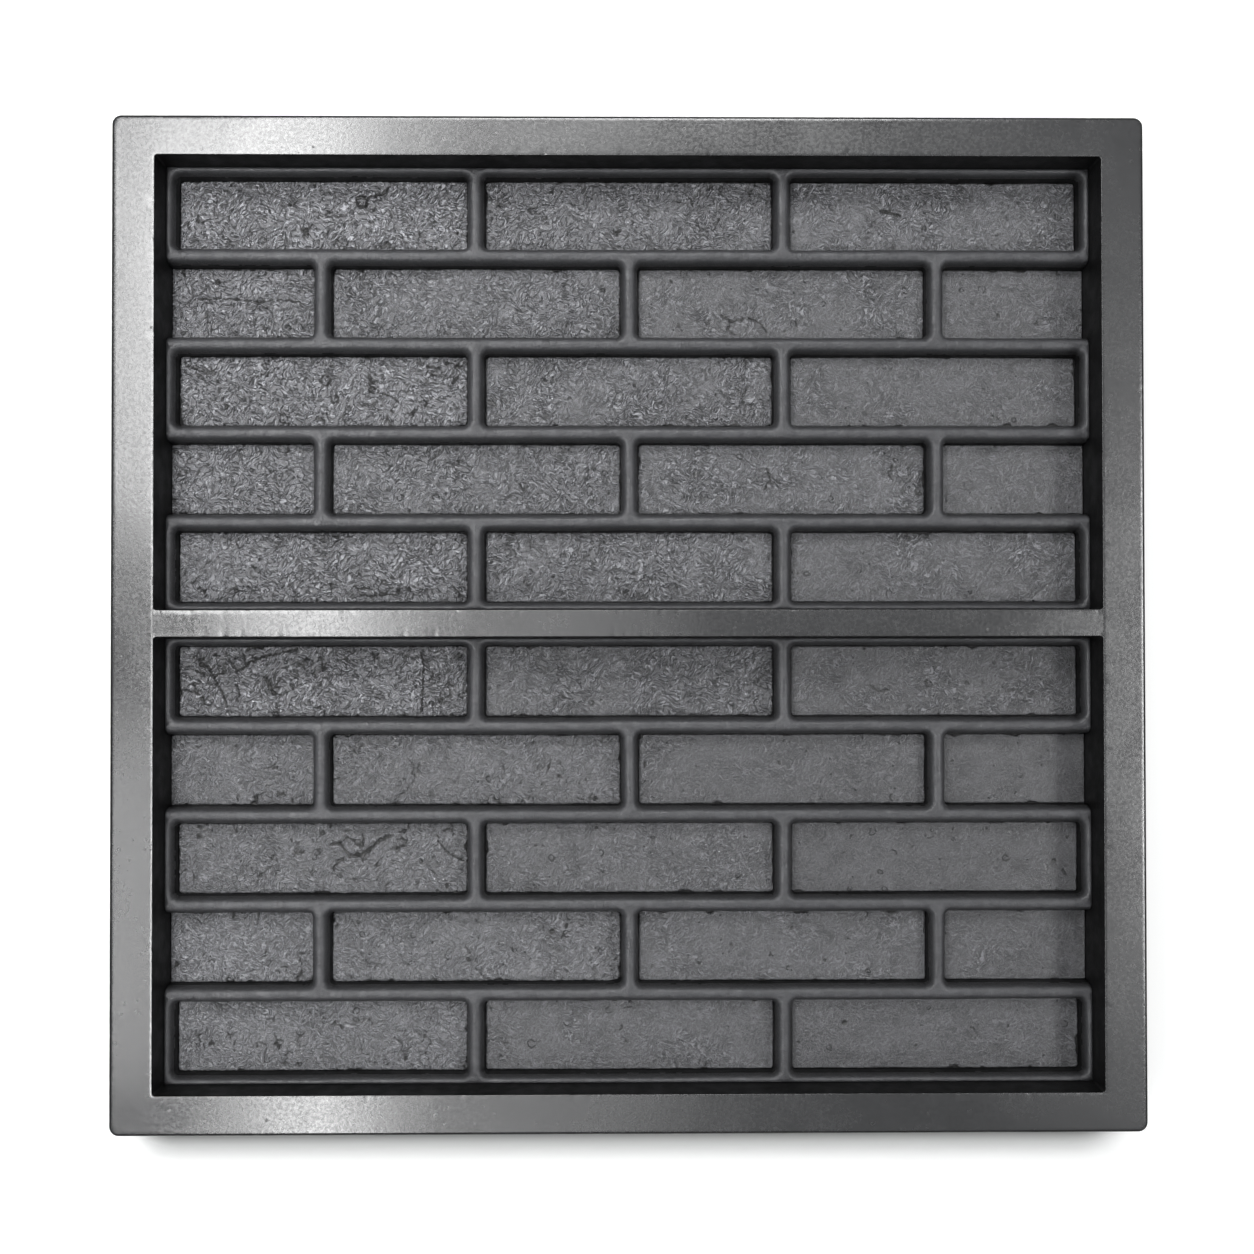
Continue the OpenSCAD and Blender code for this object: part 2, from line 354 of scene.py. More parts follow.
def frame_finish():
    """Satin moulded polyurethane on the frame's top: dark grey with smudges, fine scratches and pits.
    Painted shade turns the tilted roundings and lips black and darkens the pits.
    """
    finish, nodes, shader, place = new_finish("satin_frame_polyurethane")
    up = looks_up(nodes, place, 0.5, 0.97)
    marks = marks_on(nodes, place, 9.0, 60.0)
    grain = grain_on(nodes, place, 200.0, 45.0)
    dents = nodes.group(DENTS, {"Vector": place["Object"], "Hook scale": 120.0})
    fine = nodes.noise(place["Object"], 380.0, 3.0, 0.6)
    rubbed = mixed(nodes, marks["Smudge"], grey(0.016), grey(0.03))
    grained = mixed(nodes, nodes.ramp(grain["Mottle"], 0.3, 0.7), rubbed, grey(0.024))
    pitted = nodes.math("MAXIMUM", marks["Speck"], nodes.times(dents["Hooks"], 0.3))
    # The pits and hooks are painted near black: painted shade in the pits.
    specked = mixed(nodes, pitted, grained, grey(0.006))
    # Faces that tilt away from straight up fade to near black: painted shade on the roundings and lips.
    link(nodes, mixed(nodes, up, grey(0.006, 1.0), specked), shader, "Base Color")
    gloss = nodes.plus(nodes.ramp(fine, 0.36, 0.64, 0.17, 0.25), nodes.times(marks["Smudge"], 0.05))
    worn = nodes.plus(gloss, nodes.times(marks["Scratch"], 0.1))
    link(nodes, nodes.plus(worn, nodes.times(pitted, 0.3)), shader, "Roughness")
    set_gloss(shader, 1.8, 1.0)
    scratched = nodes.minus(fine, nodes.times(marks["Scratch"], 0.5))
    height = nodes.minus(scratched, nodes.times(pitted, 0.8))
    roughened(nodes, shader, height, 0.00008, 0.7)
    return finish


def upright_finish():
    """A black skin on upright walls, on the flanks of the ridges and on the frame's outer rounding: painted
    shade, far darker than the faces that look up.
    """
    finish, nodes, shader, place = new_finish("unrubbed_black_skin")
    grain = grain_on(nodes, place, 300.0, 70.0)
    marks = marks_on(nodes, place, 24.0, 90.0)
    link(nodes, mixed(nodes, marks["Smudge"], grey(0.003, 1.0), grey(0.007)), shader, "Base Color")
    link(nodes, nodes.ramp(grain["Mottle"], 0.3, 0.7, 0.42, 0.58), shader, "Roughness")
    shader.inputs["Specular IOR Level"].default_value = 0.25
    roughened(nodes, shader, grain["Height"], 0.0001, 0.6)
    return finish


def ridge_finish():
    """Smooth rubber of the joint ridges: grey along the crowns, lighter in patches where the crown looks
    up, partly wear and partly a painted highlight; painted shade takes the flanks down to black at the
    feet.
    """
    finish, nodes, shader, place = new_finish("smooth_ridge_rubber")
    level = nodes.parts(place["Object"])[2]
    raised = nodes.ramp(level, BRICK_Z + 3 * MM, BRICK_Z + 12.5 * MM)
    up = looks_up(nodes, place, 0.0, 0.78)
    top = looks_up(nodes, place, 0.55, 1.0)
    marks = marks_on(nodes, place, 80.0, 120.0)
    grain = grain_on(nodes, place, 300.0, 110.0)
    # Lighter patches where the crown looks up: partly wear, partly a painted highlight.
    worn = nodes.times(top, nodes.ramp(marks["Smudge"], 0.0, 1.0, 0.35, 1.0))
    crown = mixed(nodes, worn, grey(0.06), grey(0.1))
    # Painted shade: the colour fades to black down the flanks and towards the feet, by height and by tilt.
    shown = nodes.times(up, raised)
    link(nodes, mixed(nodes, shown, grey(0.005, 1.0), crown), shader, "Base Color")
    satin(nodes, shader, grain)
    set_gloss(shader, 1.6, 0.5)
    roughened(nodes, shader, grain["Height"], 0.00025, 0.6)
    return finish


def brick_finish():
    """Rubber with the print of old bricks: brushed strokes, creases and broken edges, with painted
    highlights on the crests, the edges and as glints, and painted shade in the grooves, dents and sunk
    relief and along the brick edges.
    """
    finish, nodes, shader, place = new_finish("brick_print_rubber")
    relief, edge, coarse = (nodes.add("ShaderNodeAttribute", attribute_name=name).outputs["Fac"]
                            for name in ("relief", "edge", "coarse"))
    grain = grain_on(nodes, place, 520.0, 60.0)
    marks = marks_on(nodes, place, 22.0, 100.0)
    up = looks_up(nodes, place, 0.2, 0.95)
    stroke = nodes.group(STROKES, {"Vector": place["Object"]})
    dents = nodes.group(DENTS, {"Vector": place["Object"]})
    patch = nodes.noise(place["Object"], 26.0, 3.0)
    tilt = nodes.times(nodes.centred(coarse), 0.9)
    along_y = nodes.parts(place["Object"])[1]
    smooth_y, sharp_y = -120 * MM, -60 * MM
    sharp = nodes.ramp(along_y, smooth_y, sharp_y, 0.6, 1.0)
    covered = nodes.times(nodes.ramp(nodes.plus(patch, tilt), 0.28, 0.72, 0.25, 1.0), sharp)
    # Bricks with a deeper print, towards the left and in the top course, are painted lighter, and so is the
    # raised grain: painted light over the rubber's own smudged tone.
    deep = nodes.ramp(coarse, 0.3, 0.92)
    quiet = mixed(nodes, marks["Smudge"], grey(0.052), grey(0.075))
    rubbed = mixed(nodes, marks["Smudge"], grey(0.1), grey(0.2))
    sand = mixed(nodes, deep, grey(0.13), grey(0.25))
    sandy = mixed(nodes, nodes.ramp(grain["Height"], 0.9, 2.0), mixed(nodes, deep, quiet, rubbed), sand)
    brushed = nodes.times(stroke["Crest"], covered)
    # The stroke crests are painted light grey, lighter still on the deepest prints: painted highlights. The
    # grooves are painted near black: painted shade.
    polished = mixed(nodes, nodes.ramp(coarse, 0.68, 0.92), grey(0.46), grey(0.72))
    streaked = mixed(nodes, nodes.times(brushed, 0.95), sandy, polished)
    grooved = nodes.times(stroke["Groove"], covered)
    furrowed = mixed(nodes, grooved, streaked, grey(0.012))
    # The raised relief is painted lighter: a painted highlight.
    crested = mixed(nodes, nodes.ramp(relief, 0.1 * MM, 0.7 * MM, 0.0, 0.35), furrowed, grey(0.17))
    dented = nodes.math("MAXIMUM", nodes.times(dents["Hooks"], 0.95), dents["Pinholes"])
    # A light band just inside each brick's edge: a painted highlight on the edge.
    lip = nodes.times(nodes.ramp(edge, 0.6 * MM, 1.4 * MM), nodes.ramp(edge, 1.7 * MM, 3 * MM, 0.3, 0.0))
    lipped = mixed(nodes, lip, crested, grey(0.22))
    # The lower mat is painted up to a fifth darker, fading out towards its bottom edge: painted shade.
    clean_y, dull_y, middle_y = -340 * MM, -200 * MM, 10 * MM
    dull = nodes.times(nodes.ramp(along_y, clean_y, dull_y, 0.0, 0.2),
                       nodes.ramp(along_y, -middle_y, middle_y, 1.0, 0.0))
    dulled = mixed(nodes, dull, lipped, grey(0.012))
    # The hooks and pinholes are painted near black: painted shade in the dents.
    marked = mixed(nodes, dented, dulled, grey(0.01))
    # Rare bright dots in patches, more on the deeper prints: painted glints.
    glint = nodes.spots(place["Object"], 260.0)
    chance = nodes.parts(glint["Color"])[0]
    spark = nodes.times(nodes.ramp(glint["Distance"], 0.11, 0.22, 1.0, 0.0), nodes.ramp(chance, 0.8, 0.82))
    wet = nodes.ramp(nodes.plus(nodes.noise(place["Object"], 14.0), nodes.times(tilt, 0.35)), 0.66, 0.74)
    sparkling = mixed(nodes, nodes.times(spark, wet), marked, grey(0.8))
    # Painted shade: sunk relief, the brick's edge at the ridge foot and faces that tilt away from straight
    # up fade to near black.
    level = nodes.ramp(relief, -0.7 * MM, -0.1 * MM)
    inside = nodes.ramp(edge, -0.4 * MM, 0.9 * MM, 0.15, 1.0)
    open_face = nodes.times(level, inside, up)
    link(nodes, mixed(nodes, open_face, grey(0.006, 1.0), sparkling), shader, "Base Color")
    satin(nodes, shader, grain)
    set_gloss(shader, 1.6, 1.0)
    stroked = nodes.minus(nodes.times(brushed, 2.6), nodes.times(grooved, 2.2))
    printed = nodes.minus(stroked, nodes.times(dented, 2.0))
    height = nodes.plus(printed, nodes.times(grain["Height"], 0.8))
    roughened(nodes, shader, height, 0.00026, 0.9)
    return finish


def board_finish():
    """Film-faced plywood: brown faces with a fine film, and its plies on the edges."""
    finish, nodes, shader, place = new_finish("plywood_board")
    level = nodes.parts(place["Object"])[2]
    ply_t = BOARD_T / 9
    plies = nodes.ramp(nodes.math("PINGPONG", level, ply_t), 0.41 * ply_t, 0.6 * ply_t)
    drawn = nodes.vector("MULTIPLY", place["Object"], (0.08, 1.0, 1.0))
    fibre = nodes.noise(drawn, 160.0, 6.0, 0.6, 0.65)
    light = mixed(nodes, fibre, (0.30, 0.19, 0.10, 1), (0.46, 0.32, 0.19, 1))
    dark = mixed(nodes, fibre, (0.13, 0.075, 0.04, 1), (0.22, 0.135, 0.075, 1))
    edge_wood = mixed(nodes, plies, dark, light)
    film = mixed(nodes, fibre, (0.045, 0.028, 0.02, 1), (0.075, 0.047, 0.032, 1))
    flat = nodes.math("ABSOLUTE", nodes.parts(place["Normal"])[2])
    link(nodes, mixed(nodes, nodes.ramp(flat, 0.5, 0.8), edge_wood, film), shader, "Base Color")
    link(nodes, nodes.ramp(fibre, 0.3, 0.7, 0.45, 0.7), shader, "Roughness")
    roughened(nodes, shader, fibre, 0.0003, 0.5)
    return finish


def metal_finish(name, bright, dull, roughness):
    """Turned and plated metal with a dull film in patches."""
    finish, nodes, shader, place = new_finish(name)
    marks = marks_on(nodes, place, 260.0, 900.0)
    link(nodes, mixed(nodes, marks["Smudge"], bright, dull), shader, "Base Color")
    link(nodes, nodes.ramp(marks["Smudge"], 0.0, 1.0, roughness, roughness + 0.2), shader, "Roughness")
    shader.inputs["Metallic"].default_value = 1.0
    height = nodes.plus(marks["Smudge"], marks["Scratch"])
    roughened(nodes, shader, height, 0.00003, 0.5)
    return finish


FRAME_FINISH, UPRIGHT_FINISH = frame_finish(), upright_finish()
RIDGE_FINISH, BRICK_FINISH, BOARD_FINISH = ridge_finish(), brick_finish(), board_finish()
STEEL_FINISH = metal_finish("plated_screw_steel", (0.55, 0.56, 0.58, 1), (0.36, 0.36, 0.37, 1), 0.28)
BRASS_FINISH = metal_finish("turned_insert_brass", (0.68, 0.47, 0.2, 1), (0.45, 0.31, 0.15, 1), 0.3)


# Meshes

def table_faces(rows, columns, ring_rows=False, ring_columns=False):
    """Quads between the neighbouring points of a table of rows x columns points."""
    i = np.arange(rows if ring_rows else rows - 1)[:, None]
    j = np.arange(columns if ring_columns else columns - 1)[None, :]
    below, right = (i + 1) % rows, (j + 1) % columns
    corners = (i * columns + j, i * columns + right, below * columns + right, below * columns + j)
    return np.stack([np.broadcast_to(c, (i.size, j.size)) for c in corners], -1).reshape(-1, 4)


def new_piece(name, points, faces, values):
    """A piece from its points, faces and named values at the points."""
    mesh = bpy.data.meshes.new(name)
    mesh.from_pydata(np.asarray(points).tolist(), [], [list(map(int, face)) for face in faces])
    for key, data in values.items():
        mesh.attributes.new(key, "FLOAT", "POINT").data.foreach_set("value", np.asarray(data, np.float32))
    piece = bpy.data.objects.new(name, mesh)
    bpy.context.scene.collection.objects.link(piece)
    return piece


def recalculate(piece):
    """Turns all faces outwards."""
    work = bmesh.new()
    work.from_mesh(piece.data)
    bmesh.ops.recalc_face_normals(work, faces=work.faces)
    work.to_mesh(piece.data)
    work.free()


def run_tree(piece, tree, **settings):
    """Gives the piece the plain mesh that the geometry tree makes of it."""
    modifier = piece.modifiers.new(tree.name, "NODES")
    modifier.node_group = tree
    for item in tree.interface.items_tree:
        key = item.name.replace(" ", "_").lower()
        if item.in_out == "INPUT" and key in settings:
            modifier[item.identifier] = settings[key]
    dependencies = bpy.context.evaluated_depsgraph_get()
    evaluated = piece.evaluated_get(dependencies)
    made = bpy.data.meshes.new_from_object(evaluated, preserve_all_data_layers=True, depsgraph=dependencies)
    piece.modifiers.remove(modifier)
    piece.data = made
    made.shade_smooth()


def seat(piece, slot, *nodes):
    """The piece rides on the one body and stands for the nodes, which it hides. The slot is not used."""
    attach(piece, "root")
    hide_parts(*nodes)


def stations(breaks, reach, fine, coarse):
    """Places from the first break to the last, close together within reach of each break."""
    places = [np.array([breaks[0]])]
    for start, end in zip(breaks, breaks[1:]):
        for a, b, step in ((start, start + reach, fine), (start + reach, end - reach, coarse),
                           (end - reach, end, fine)):
            places.append(np.linspace(a, b, max(2, math.ceil((b - a) / step) + 1))[1:])
    return np.concatenate(places)


# Geometry trees

def tree_start(name, inputs):
    tree, nodes, given, out = new_tree(
        name, "GeometryNodeTree",
        [("Geometry", "Geometry", None), *inputs, ("Finish", "Material", None)], [("Geometry", "Geometry")])
    tree.is_modifier = True
    return tree, nodes, given, out


def tree_end(nodes, geometry, given, out, steep_below=None):
    """Realizes and sets the finish. Faces steeper than steep_below get the black finish that paints shade
    on them.
    """
    plain = nodes.add("GeometryNodeRealizeInstances", {0: geometry}).outputs[0]
    finished = nodes.add("GeometryNodeSetMaterial", {"Geometry": plain, "Material": given["Finish"]})
    if steep_below is not None:
        steep = nodes.math("LESS_THAN", nodes.parts(normal_at(nodes))[2], steep_below)
        finished = nodes.add("GeometryNodeSetMaterial", {
            "Geometry": finished.outputs[0], "Selection": steep, "Material": given["Upright finish"]})
    nodes.join(finished.outputs[0], out["Geometry"])


def moved_by(nodes, geometry, offset):
    return nodes.add("GeometryNodeSetPosition", {"Geometry": geometry, "Offset": offset}).outputs[0]


def normal_at(nodes):
    return nodes.add("GeometryNodeInputNormal").outputs[0]


def named(nodes, name):
    return nodes.add("GeometryNodeInputNamedAttribute", {"Name": name}, data_type="FLOAT").outputs[0]


def seeded_place(nodes, seed):
    """The point's place, shifted by the seed, so that each seed gives another pattern."""
    place = nodes.add("GeometryNodeInputPosition").outputs[0]
    return nodes.vector("ADD", place, nodes.scaled((1.7, 2.3, 0.9), seed))


# The value of the attribute edge on the frame's outer rounding
OUTER_ROUNDING = 0.25


def worn_member_tree():
    """Small nicks along the crisp edges of a moulded member, and slight hollows in its faces."""
    tree, nodes, given, out = tree_start("worn_member", [
        ("Nick depth", "Float", 0.0004), ("Nick spacing", "Float", 0.01), ("Swell", "Float", 0.0002),
        ("Seed", "Float", 0.0), ("Upright finish", "Material", None)])
    place = seeded_place(nodes, given["Seed"])
    edge, face = named(nodes, "edge"), named(nodes, "face")
    rate = nodes.math("DIVIDE", 1.0, given["Nick spacing"])
    nick = nodes.ramp(nodes.noise(place, rate, 3.0, 0.0, 0.75), 0.56, 0.74)
    fray = nodes.noise(place, nodes.times(rate, 4.0), 2.0)
    depth = nodes.times(nodes.plus(nick, nodes.times(fray, 0.5)), edge, given["Nick depth"])
    hollow = nodes.times(nodes.noise(place, 16.0), given["Swell"], face)
    inwards = nodes.scaled(normal_at(nodes), -1.0)
    shaped = moved_by(nodes, given["Geometry"], nodes.scaled(inwards, nodes.plus(depth, hollow)))
    # Faces steeper than the limit below get the black finish that paints shade: below a tilt of 0.3 on the
    # walls, and nearly the whole outer rounding.
    rounded = nodes.math("COMPARE", edge, OUTER_ROUNDING, 0.05)
    skin_below = nodes.plus(0.3, nodes.times(rounded, 0.65))
    tree_end(nodes, shaped, given, out, skin_below)
    return tree


def hand_waver():
    """The slow wander of hand-laid joints, as an offset of a point."""
    tree, nodes, given, out = new_tree(
        "hand_waver", "GeometryNodeTree",
        [("Place", "Vector", None), ("Sideways", "Float", 0.0016), ("Upwards", "Float", 0.0008)],
        [("Offset", "Vector")])
    limits = nodes.point(given["Sideways"], given["Sideways"], given["Upwards"])
    nodes.join(nodes.vector("MULTIPLY", nodes.sway(given["Place"], 13.0), limits), out["Offset"])
    return tree


HAND_WAVER = hand_waver()


def ridge_tree():
    """Joint ridges as a jointing tool leaves them: wandering a little, with small lumps."""
    tree, nodes, given, out = tree_start("joint_ridges", [
        ("Sideways", "Float", 0.0016), ("Upwards", "Float", 0.0008), ("Lumps", "Float", 0.0006),
        ("Seed", "Float", 0.0), ("Upright finish", "Material", None)])
    place = seeded_place(nodes, given["Seed"])
    free = named(nodes, "free")
    limits = {"Sideways": given["Sideways"], "Upwards": given["Upwards"]}
    waver = nodes.group(HAND_WAVER, {"Place": place, **limits})[0]
    lump = nodes.centred(nodes.noise(place, 75.0, 3.0, 0.3))
    outwards = nodes.scaled(normal_at(nodes), nodes.times(lump, given["Lumps"]))
    offset = nodes.scaled(nodes.vector("ADD", waver, outwards), free)
    # Faces steeper than 0.18 get the black finish that paints shade on the ridges' flanks.
    tree_end(nodes, moved_by(nodes, given["Geometry"], offset), given, out, 0.18)
    return tree


def brick_relief_tree():
    """The print of an old brick: swell, curly strokes, pits, rings, creases and ragged edges."""
    tree, nodes, given, out = tree_start("brick_relief", [
        ("Swell", "Float", 0.0009), ("Strokes", "Float", 0.00045), ("Sand", "Float", 0.00016),
        ("Pits", "Float", 0.0009), ("Rings", "Float", 0.00035), ("Creases", "Float", 0.0009),
        ("Edge drop", "Float", 0.0015), ("Ragged", "Float", 0.0024), ("Seed", "Float", 0.0)])
    place = seeded_place(nodes, given["Seed"])
    edge, coarse, top, mark = (named(nodes, name) for name in ("edge", "coarse", "top", "mark"))

    swell = nodes.centred(nodes.noise(place, 24.0, 2.0))
    bent = nodes.warped(place, 70.0, 0.01)
    curl = nodes.noise(bent, 205.0, 1.5, 0.5)
    strokes = nodes.ramp(nodes.from_centre(curl), 0.0, 0.085, 1.0, -0.35)
    patch = nodes.noise(place, 30.0, 2.0)
    covered = nodes.ramp(nodes.plus(patch, nodes.times(nodes.centred(coarse), 0.45)), 0.38, 0.68)
    sand = nodes.centred(nodes.noise(place, 420.0, 2.0))

    pit = nodes.spots(bent, 72.0)
    chance = nodes.parts(pit["Color"])
    pit_size = nodes.ramp(chance[0], 0.0, 1.0, 0.07, 0.2)
    pit_hole = nodes.ramp(nodes.math("DIVIDE", pit["Distance"], pit_size), 0.35, 1.0, 1.0, 0.0)
    pits = nodes.times(pit_hole, nodes.ramp(chance[1], 0.66, 0.7))

    loop = nodes.spots(bent, 40.0)
    odds = nodes.parts(loop["Color"])
    rim_at = nodes.ramp(odds[0], 0.0, 1.0, 0.1, 0.2)
    rim = nodes.math("ABSOLUTE", nodes.minus(loop["Distance"], rim_at))
    part = nodes.ramp(nodes.noise(place, 110.0, 1.0), 0.42, 0.56)
    rings = nodes.times(nodes.ramp(rim, 0.015, 0.05, 1.0, 0.0), part, nodes.ramp(odds[1], 0.6, 0.65))

    fold = nodes.from_centre(nodes.noise(bent, 58.0, 1.5))
    kept = nodes.times(nodes.ramp(nodes.noise(place, 47.0), 0.53, 0.6), nodes.ramp(coarse, 0.4, 0.8))
    creases = nodes.times(nodes.ramp(fold, 0.0, 0.035, 1.0, 0.0), kept)

    fray = nodes.noise(place, 190.0, 3.0, 0.0, 0.65)
    bite = nodes.ramp(nodes.noise(place, 62.0, 2.0), 0.58, 0.78, 0.0, 2.2)
    lost = nodes.times(nodes.plus(fray, bite), given["Ragged"], 0.5)
    drop = nodes.ramp(nodes.minus(edge, lost), -1.1 * MM, 0.5 * MM, 1.0, 0.0)

    height = mark
    for raised, name in ((swell, "Swell"), (nodes.times(strokes, covered), "Strokes"), (sand, "Sand")):
        height = nodes.plus(height, nodes.times(raised, given[name]))
    for sunk, name in ((rings, "Rings"), (creases, "Creases"), (pits, "Pits"), (drop, "Edge drop")):
        height = nodes.minus(height, nodes.times(sunk, given[name]))
    height = nodes.times(height, top)
    stored = nodes.add("GeometryNodeStoreNamedAttribute", {
        "Geometry": given["Geometry"], "Name": "relief", "Value": height}, data_type="FLOAT")
    tree_end(nodes, moved_by(nodes, stored.outputs[0], nodes.point(z=height)), given, out)
    return tree


def fastener_tree():
    """A copy of the fastener on each point, each turned its own way as a driver leaves it."""
    tree, nodes, given, out = tree_start("fasteners_on_points", [
        ("Fastener", "Object", None), ("Seed", "Int", 0)])
    model = nodes.add("GeometryNodeObjectInfo", {"Object": given["Fastener"]}).outputs["Geometry"]
    spin = nodes.add("FunctionNodeRandomValue", {"Seed": given["Seed"], 2: 0.0, 3: math.tau})
    turn = nodes.point(z=spin.outputs[1])
    copies = nodes.add("GeometryNodeInstanceOnPoints", {
        "Points": given["Geometry"], "Instance": model, "Rotation": turn})
    tree_end(nodes, copies.outputs[0], given, out)
    return tree


WORN_MEMBER, RIDGES, BRICK_RELIEF, FASTENERS = (
    worn_member_tree(), ridge_tree(), brick_relief_tree(), fastener_tree())


# The frame round the two trays

CORNER_CENTRE = (FLOOR_HALF_L - TRAY_CORNER_R, INNER_HALF_W - TRAY_CORNER_R)


def corner_hits(half, radius, angles):
    """Where rays from the tray's corner centre meet a rounded rectangle, in the first quadrant."""
    points = []
    for angle in angles:
        dx, dy = math.cos(angle), math.sin(angle)
        reach = min((half[i] - CORNER_CENTRE[i]) / d for i, d in enumerate((dx, dy)) if d > 1e-9)
        x, y = CORNER_CENTRE[0] + reach * dx, CORNER_CENTRE[1] + reach * dy
        round_x, round_y = half[0] - radius, half[1] - radius
        if x > round_x and y > round_y:
            from_x, from_y = CORNER_CENTRE[0] - round_x, CORNER_CENTRE[1] - round_y
            b = from_x * dx + from_y * dy
            reach = -b + math.sqrt(b * b - from_x ** 2 - from_y ** 2 + radius ** 2)
            x, y = CORNER_CENTRE[0] + reach * dx, CORNER_CENTRE[1] + reach * dy
        points.append((x, y))
    return np.array(points)


def ring_outline(half, radius, angles, side_x, side_y):
    """A rounded rectangle drawn once round, with the same stations for every ring."""
    corner = corner_hits(half, radius, angles)
    back = corner[::-1]
    right = np.stack([np.full(len(side_y), half[0]), side_y], -1)
    upper = np.stack([-side_x, np.full(len(side_x), half[1])], -1)
    return np.concatenate([
        right, corner, upper, back * (-1, 1), -right, -corner, -upper, back * (1, -1)])


def lip_points():
    """The rounding between a member's top and its inner wall, as (inset from the wall, level)."""
    turns = np.linspace(0, math.pi / 2, 4)
    return [(INNER_LIP_R * (1 - math.sin(t)), TOP_Z - INNER_LIP_R * (1 - math.cos(t))) for t in turns]


def member_profile():
    """The frame's section as (outer or inner rim, offset, level, edge, face), from below outwards."""
    foot_bevel = 0.5 * MM
    side_foot, side_top = BOARD_T + 12 * MM, TOP_Z - OUTER_EDGE_R
    rows = [("outer", foot_bevel, BOARD_T, 0, 0), ("outer", 0, BOARD_T + foot_bevel, 0, 0)]
    rows += [("outer", 0, level, 0, 0.5) for level in np.linspace(side_foot, side_top, 4)]
    for turn in np.linspace(0, math.pi / 2, 7)[1:]:
        inset = OUTER_EDGE_R * (1 - math.cos(turn))
        rows.append(("outer", inset, side_top + OUTER_EDGE_R * math.sin(turn), OUTER_ROUNDING, 0.5))
    rows += [("top", share, TOP_Z, 0, 1) for share in (0.06, 0.25, 0.5, 0.75, 0.94)]
    for inset, level in lip_points():
        rows.append(("inner", inset, level, 1, 0))
    rows += [("inner", 0, level, 0, 0) for level in WALL_LEVELS]
    rows += [("inner", FLANGE_W, BRICK_Z, 0, 0), ("inner", FLANGE_W, BOARD_T, 0, 0)]
    return rows


def lean_at(level):
    return max(0.0, level - BRICK_Z) * WALL_SLOPE


def along_member(half_length):
    """Places along a straight member, close together near its ends."""
    return stations((-half_length, half_length), reach=8 * MM, fine=1.2 * MM, coarse=1.7 * MM)


def make_outer_frame():
    angles = np.concatenate([np.linspace(0, 0.6, 9), np.linspace(0.6, 0.9, 15)[1:],
                             np.linspace(0.9, math.pi / 2, 9)[1:]])
    side_x, side_y = (along_member(half)[1:-1] for half in CORNER_CENTRE)

    def rim(kind, offset, level):
        if kind == "outer":
            half, radius = (OUTER_HALF[0] - offset, OUTER_HALF[1] - offset), OUTER_CORNER_R - offset
        else:
            grown = lean_at(level) + offset
            half, radius = (FLOOR_HALF_L + grown, INNER_HALF_W + grown), TRAY_CORNER_R + grown
        return ring_outline(half, radius, angles, side_x, side_y)

    top_outer, top_inner = rim("outer", OUTER_EDGE_R, TOP_Z), rim("inner", INNER_LIP_R, TOP_Z)
    size = len(top_outer)
    rings, edge, face = [], [], []
    for kind, offset, level, is_edge, is_face in member_profile():
        if kind == "top":
            outline = top_outer + (top_inner - top_outer) * offset
        else:
            outline = rim(kind, offset, level)
        rings.append(np.column_stack([outline, np.full(size, level)]))
        edge.append(is_edge)
        face.append(is_face)
    faces = table_faces(len(rings), size, True, True)
    piece = new_piece("moulded_outer_frame", np.concatenate(rings), faces,
                      {"edge": np.repeat(edge, size), "face": np.repeat(face, size)})
    run_tree(piece, WORN_MEMBER, finish=FRAME_FINISH, upright_finish=UPRIGHT_FINISH, seed=1.0)
    piece.data.set_sharp_from_angle(angle=math.radians(40))
    seat(piece, "frame_polyurethane", "outer_frame")


def make_divider_bar():
    """The bar's section runs along X, and flares into the frame's walls at both ends."""
    half_land = BAR_FOOT_W / 2 - BAR_FLANGE_W
    # As (half width or None on the walls, level, inset from the wall, edge, face), from below outwards
    profile = [(0.0, BOARD_T, 0.0, 0, 0), (half_land, BOARD_T, 0.0, 0, 0), (half_land, BRICK_Z, 0.0, 0, 0)]
    profile += [(None, level, 0.0, 0, 0) for level in WALL_LEVELS[::-1]]
    profile += [(None, level, inset, 1, 0) for inset, level in lip_points()[::-1]]
    profile += [(half_land, TOP_Z, 0.0, 0, 1), (0.0, TOP_Z, 0.0, 0, 1)]
    straight = along_member(CORNER_CENTRE[0])
    flare = np.linspace(0, math.pi / 2, 9)[1:]
    turns = np.concatenate([-flare[::-1], np.zeros(len(straight)), flare])
    base_x = np.concatenate([np.full(len(flare), straight[0]), straight, np.full(len(flare), straight[-1])])
    rows, edge, face = [], [], []
    for half_y, level, inset, is_edge, is_face in profile:
        radius = TRAY_CORNER_R + lean_at(level)
        x = base_x + radius * np.sin(turns)
        if half_y is None:
            y = BAR_FOOT_W / 2 + TRAY_CORNER_R - radius * np.cos(turns) - inset
        else:
            y = np.full(len(x), half_y)
        rows.append(np.stack([x, y, np.full(len(x), level)], -1))
        edge.append(is_edge)
        face.append(is_face)
    mirrored = [row * (1, -1, 1) for row in rows[-2:0:-1]]
    edge += edge[-2:0:-1]
    face += face[-2:0:-1]
    table = np.array(rows + mirrored)
    count, length = table.shape[:2]
    faces = table_faces(count, length, ring_rows=True).tolist()
    faces += [[i * length for i in range(count)], [i * length + length - 1 for i in range(count)][::-1]]
    piece = new_piece("moulded_divider_bar", table.reshape(-1, 3), faces,
                      {"edge": np.repeat(edge, length), "face": np.repeat(face, length)})
    recalculate(piece)
    run_tree(piece, WORN_MEMBER, finish=FRAME_FINISH, upright_finish=UPRIGHT_FINISH, seed=2.0)
    piece.data.set_sharp_from_angle(angle=math.radians(40))
    seat(piece, "frame_polyurethane", "divider_bar")


# The mats: joint ridges round sunk pockets, with a brick face in each pocket

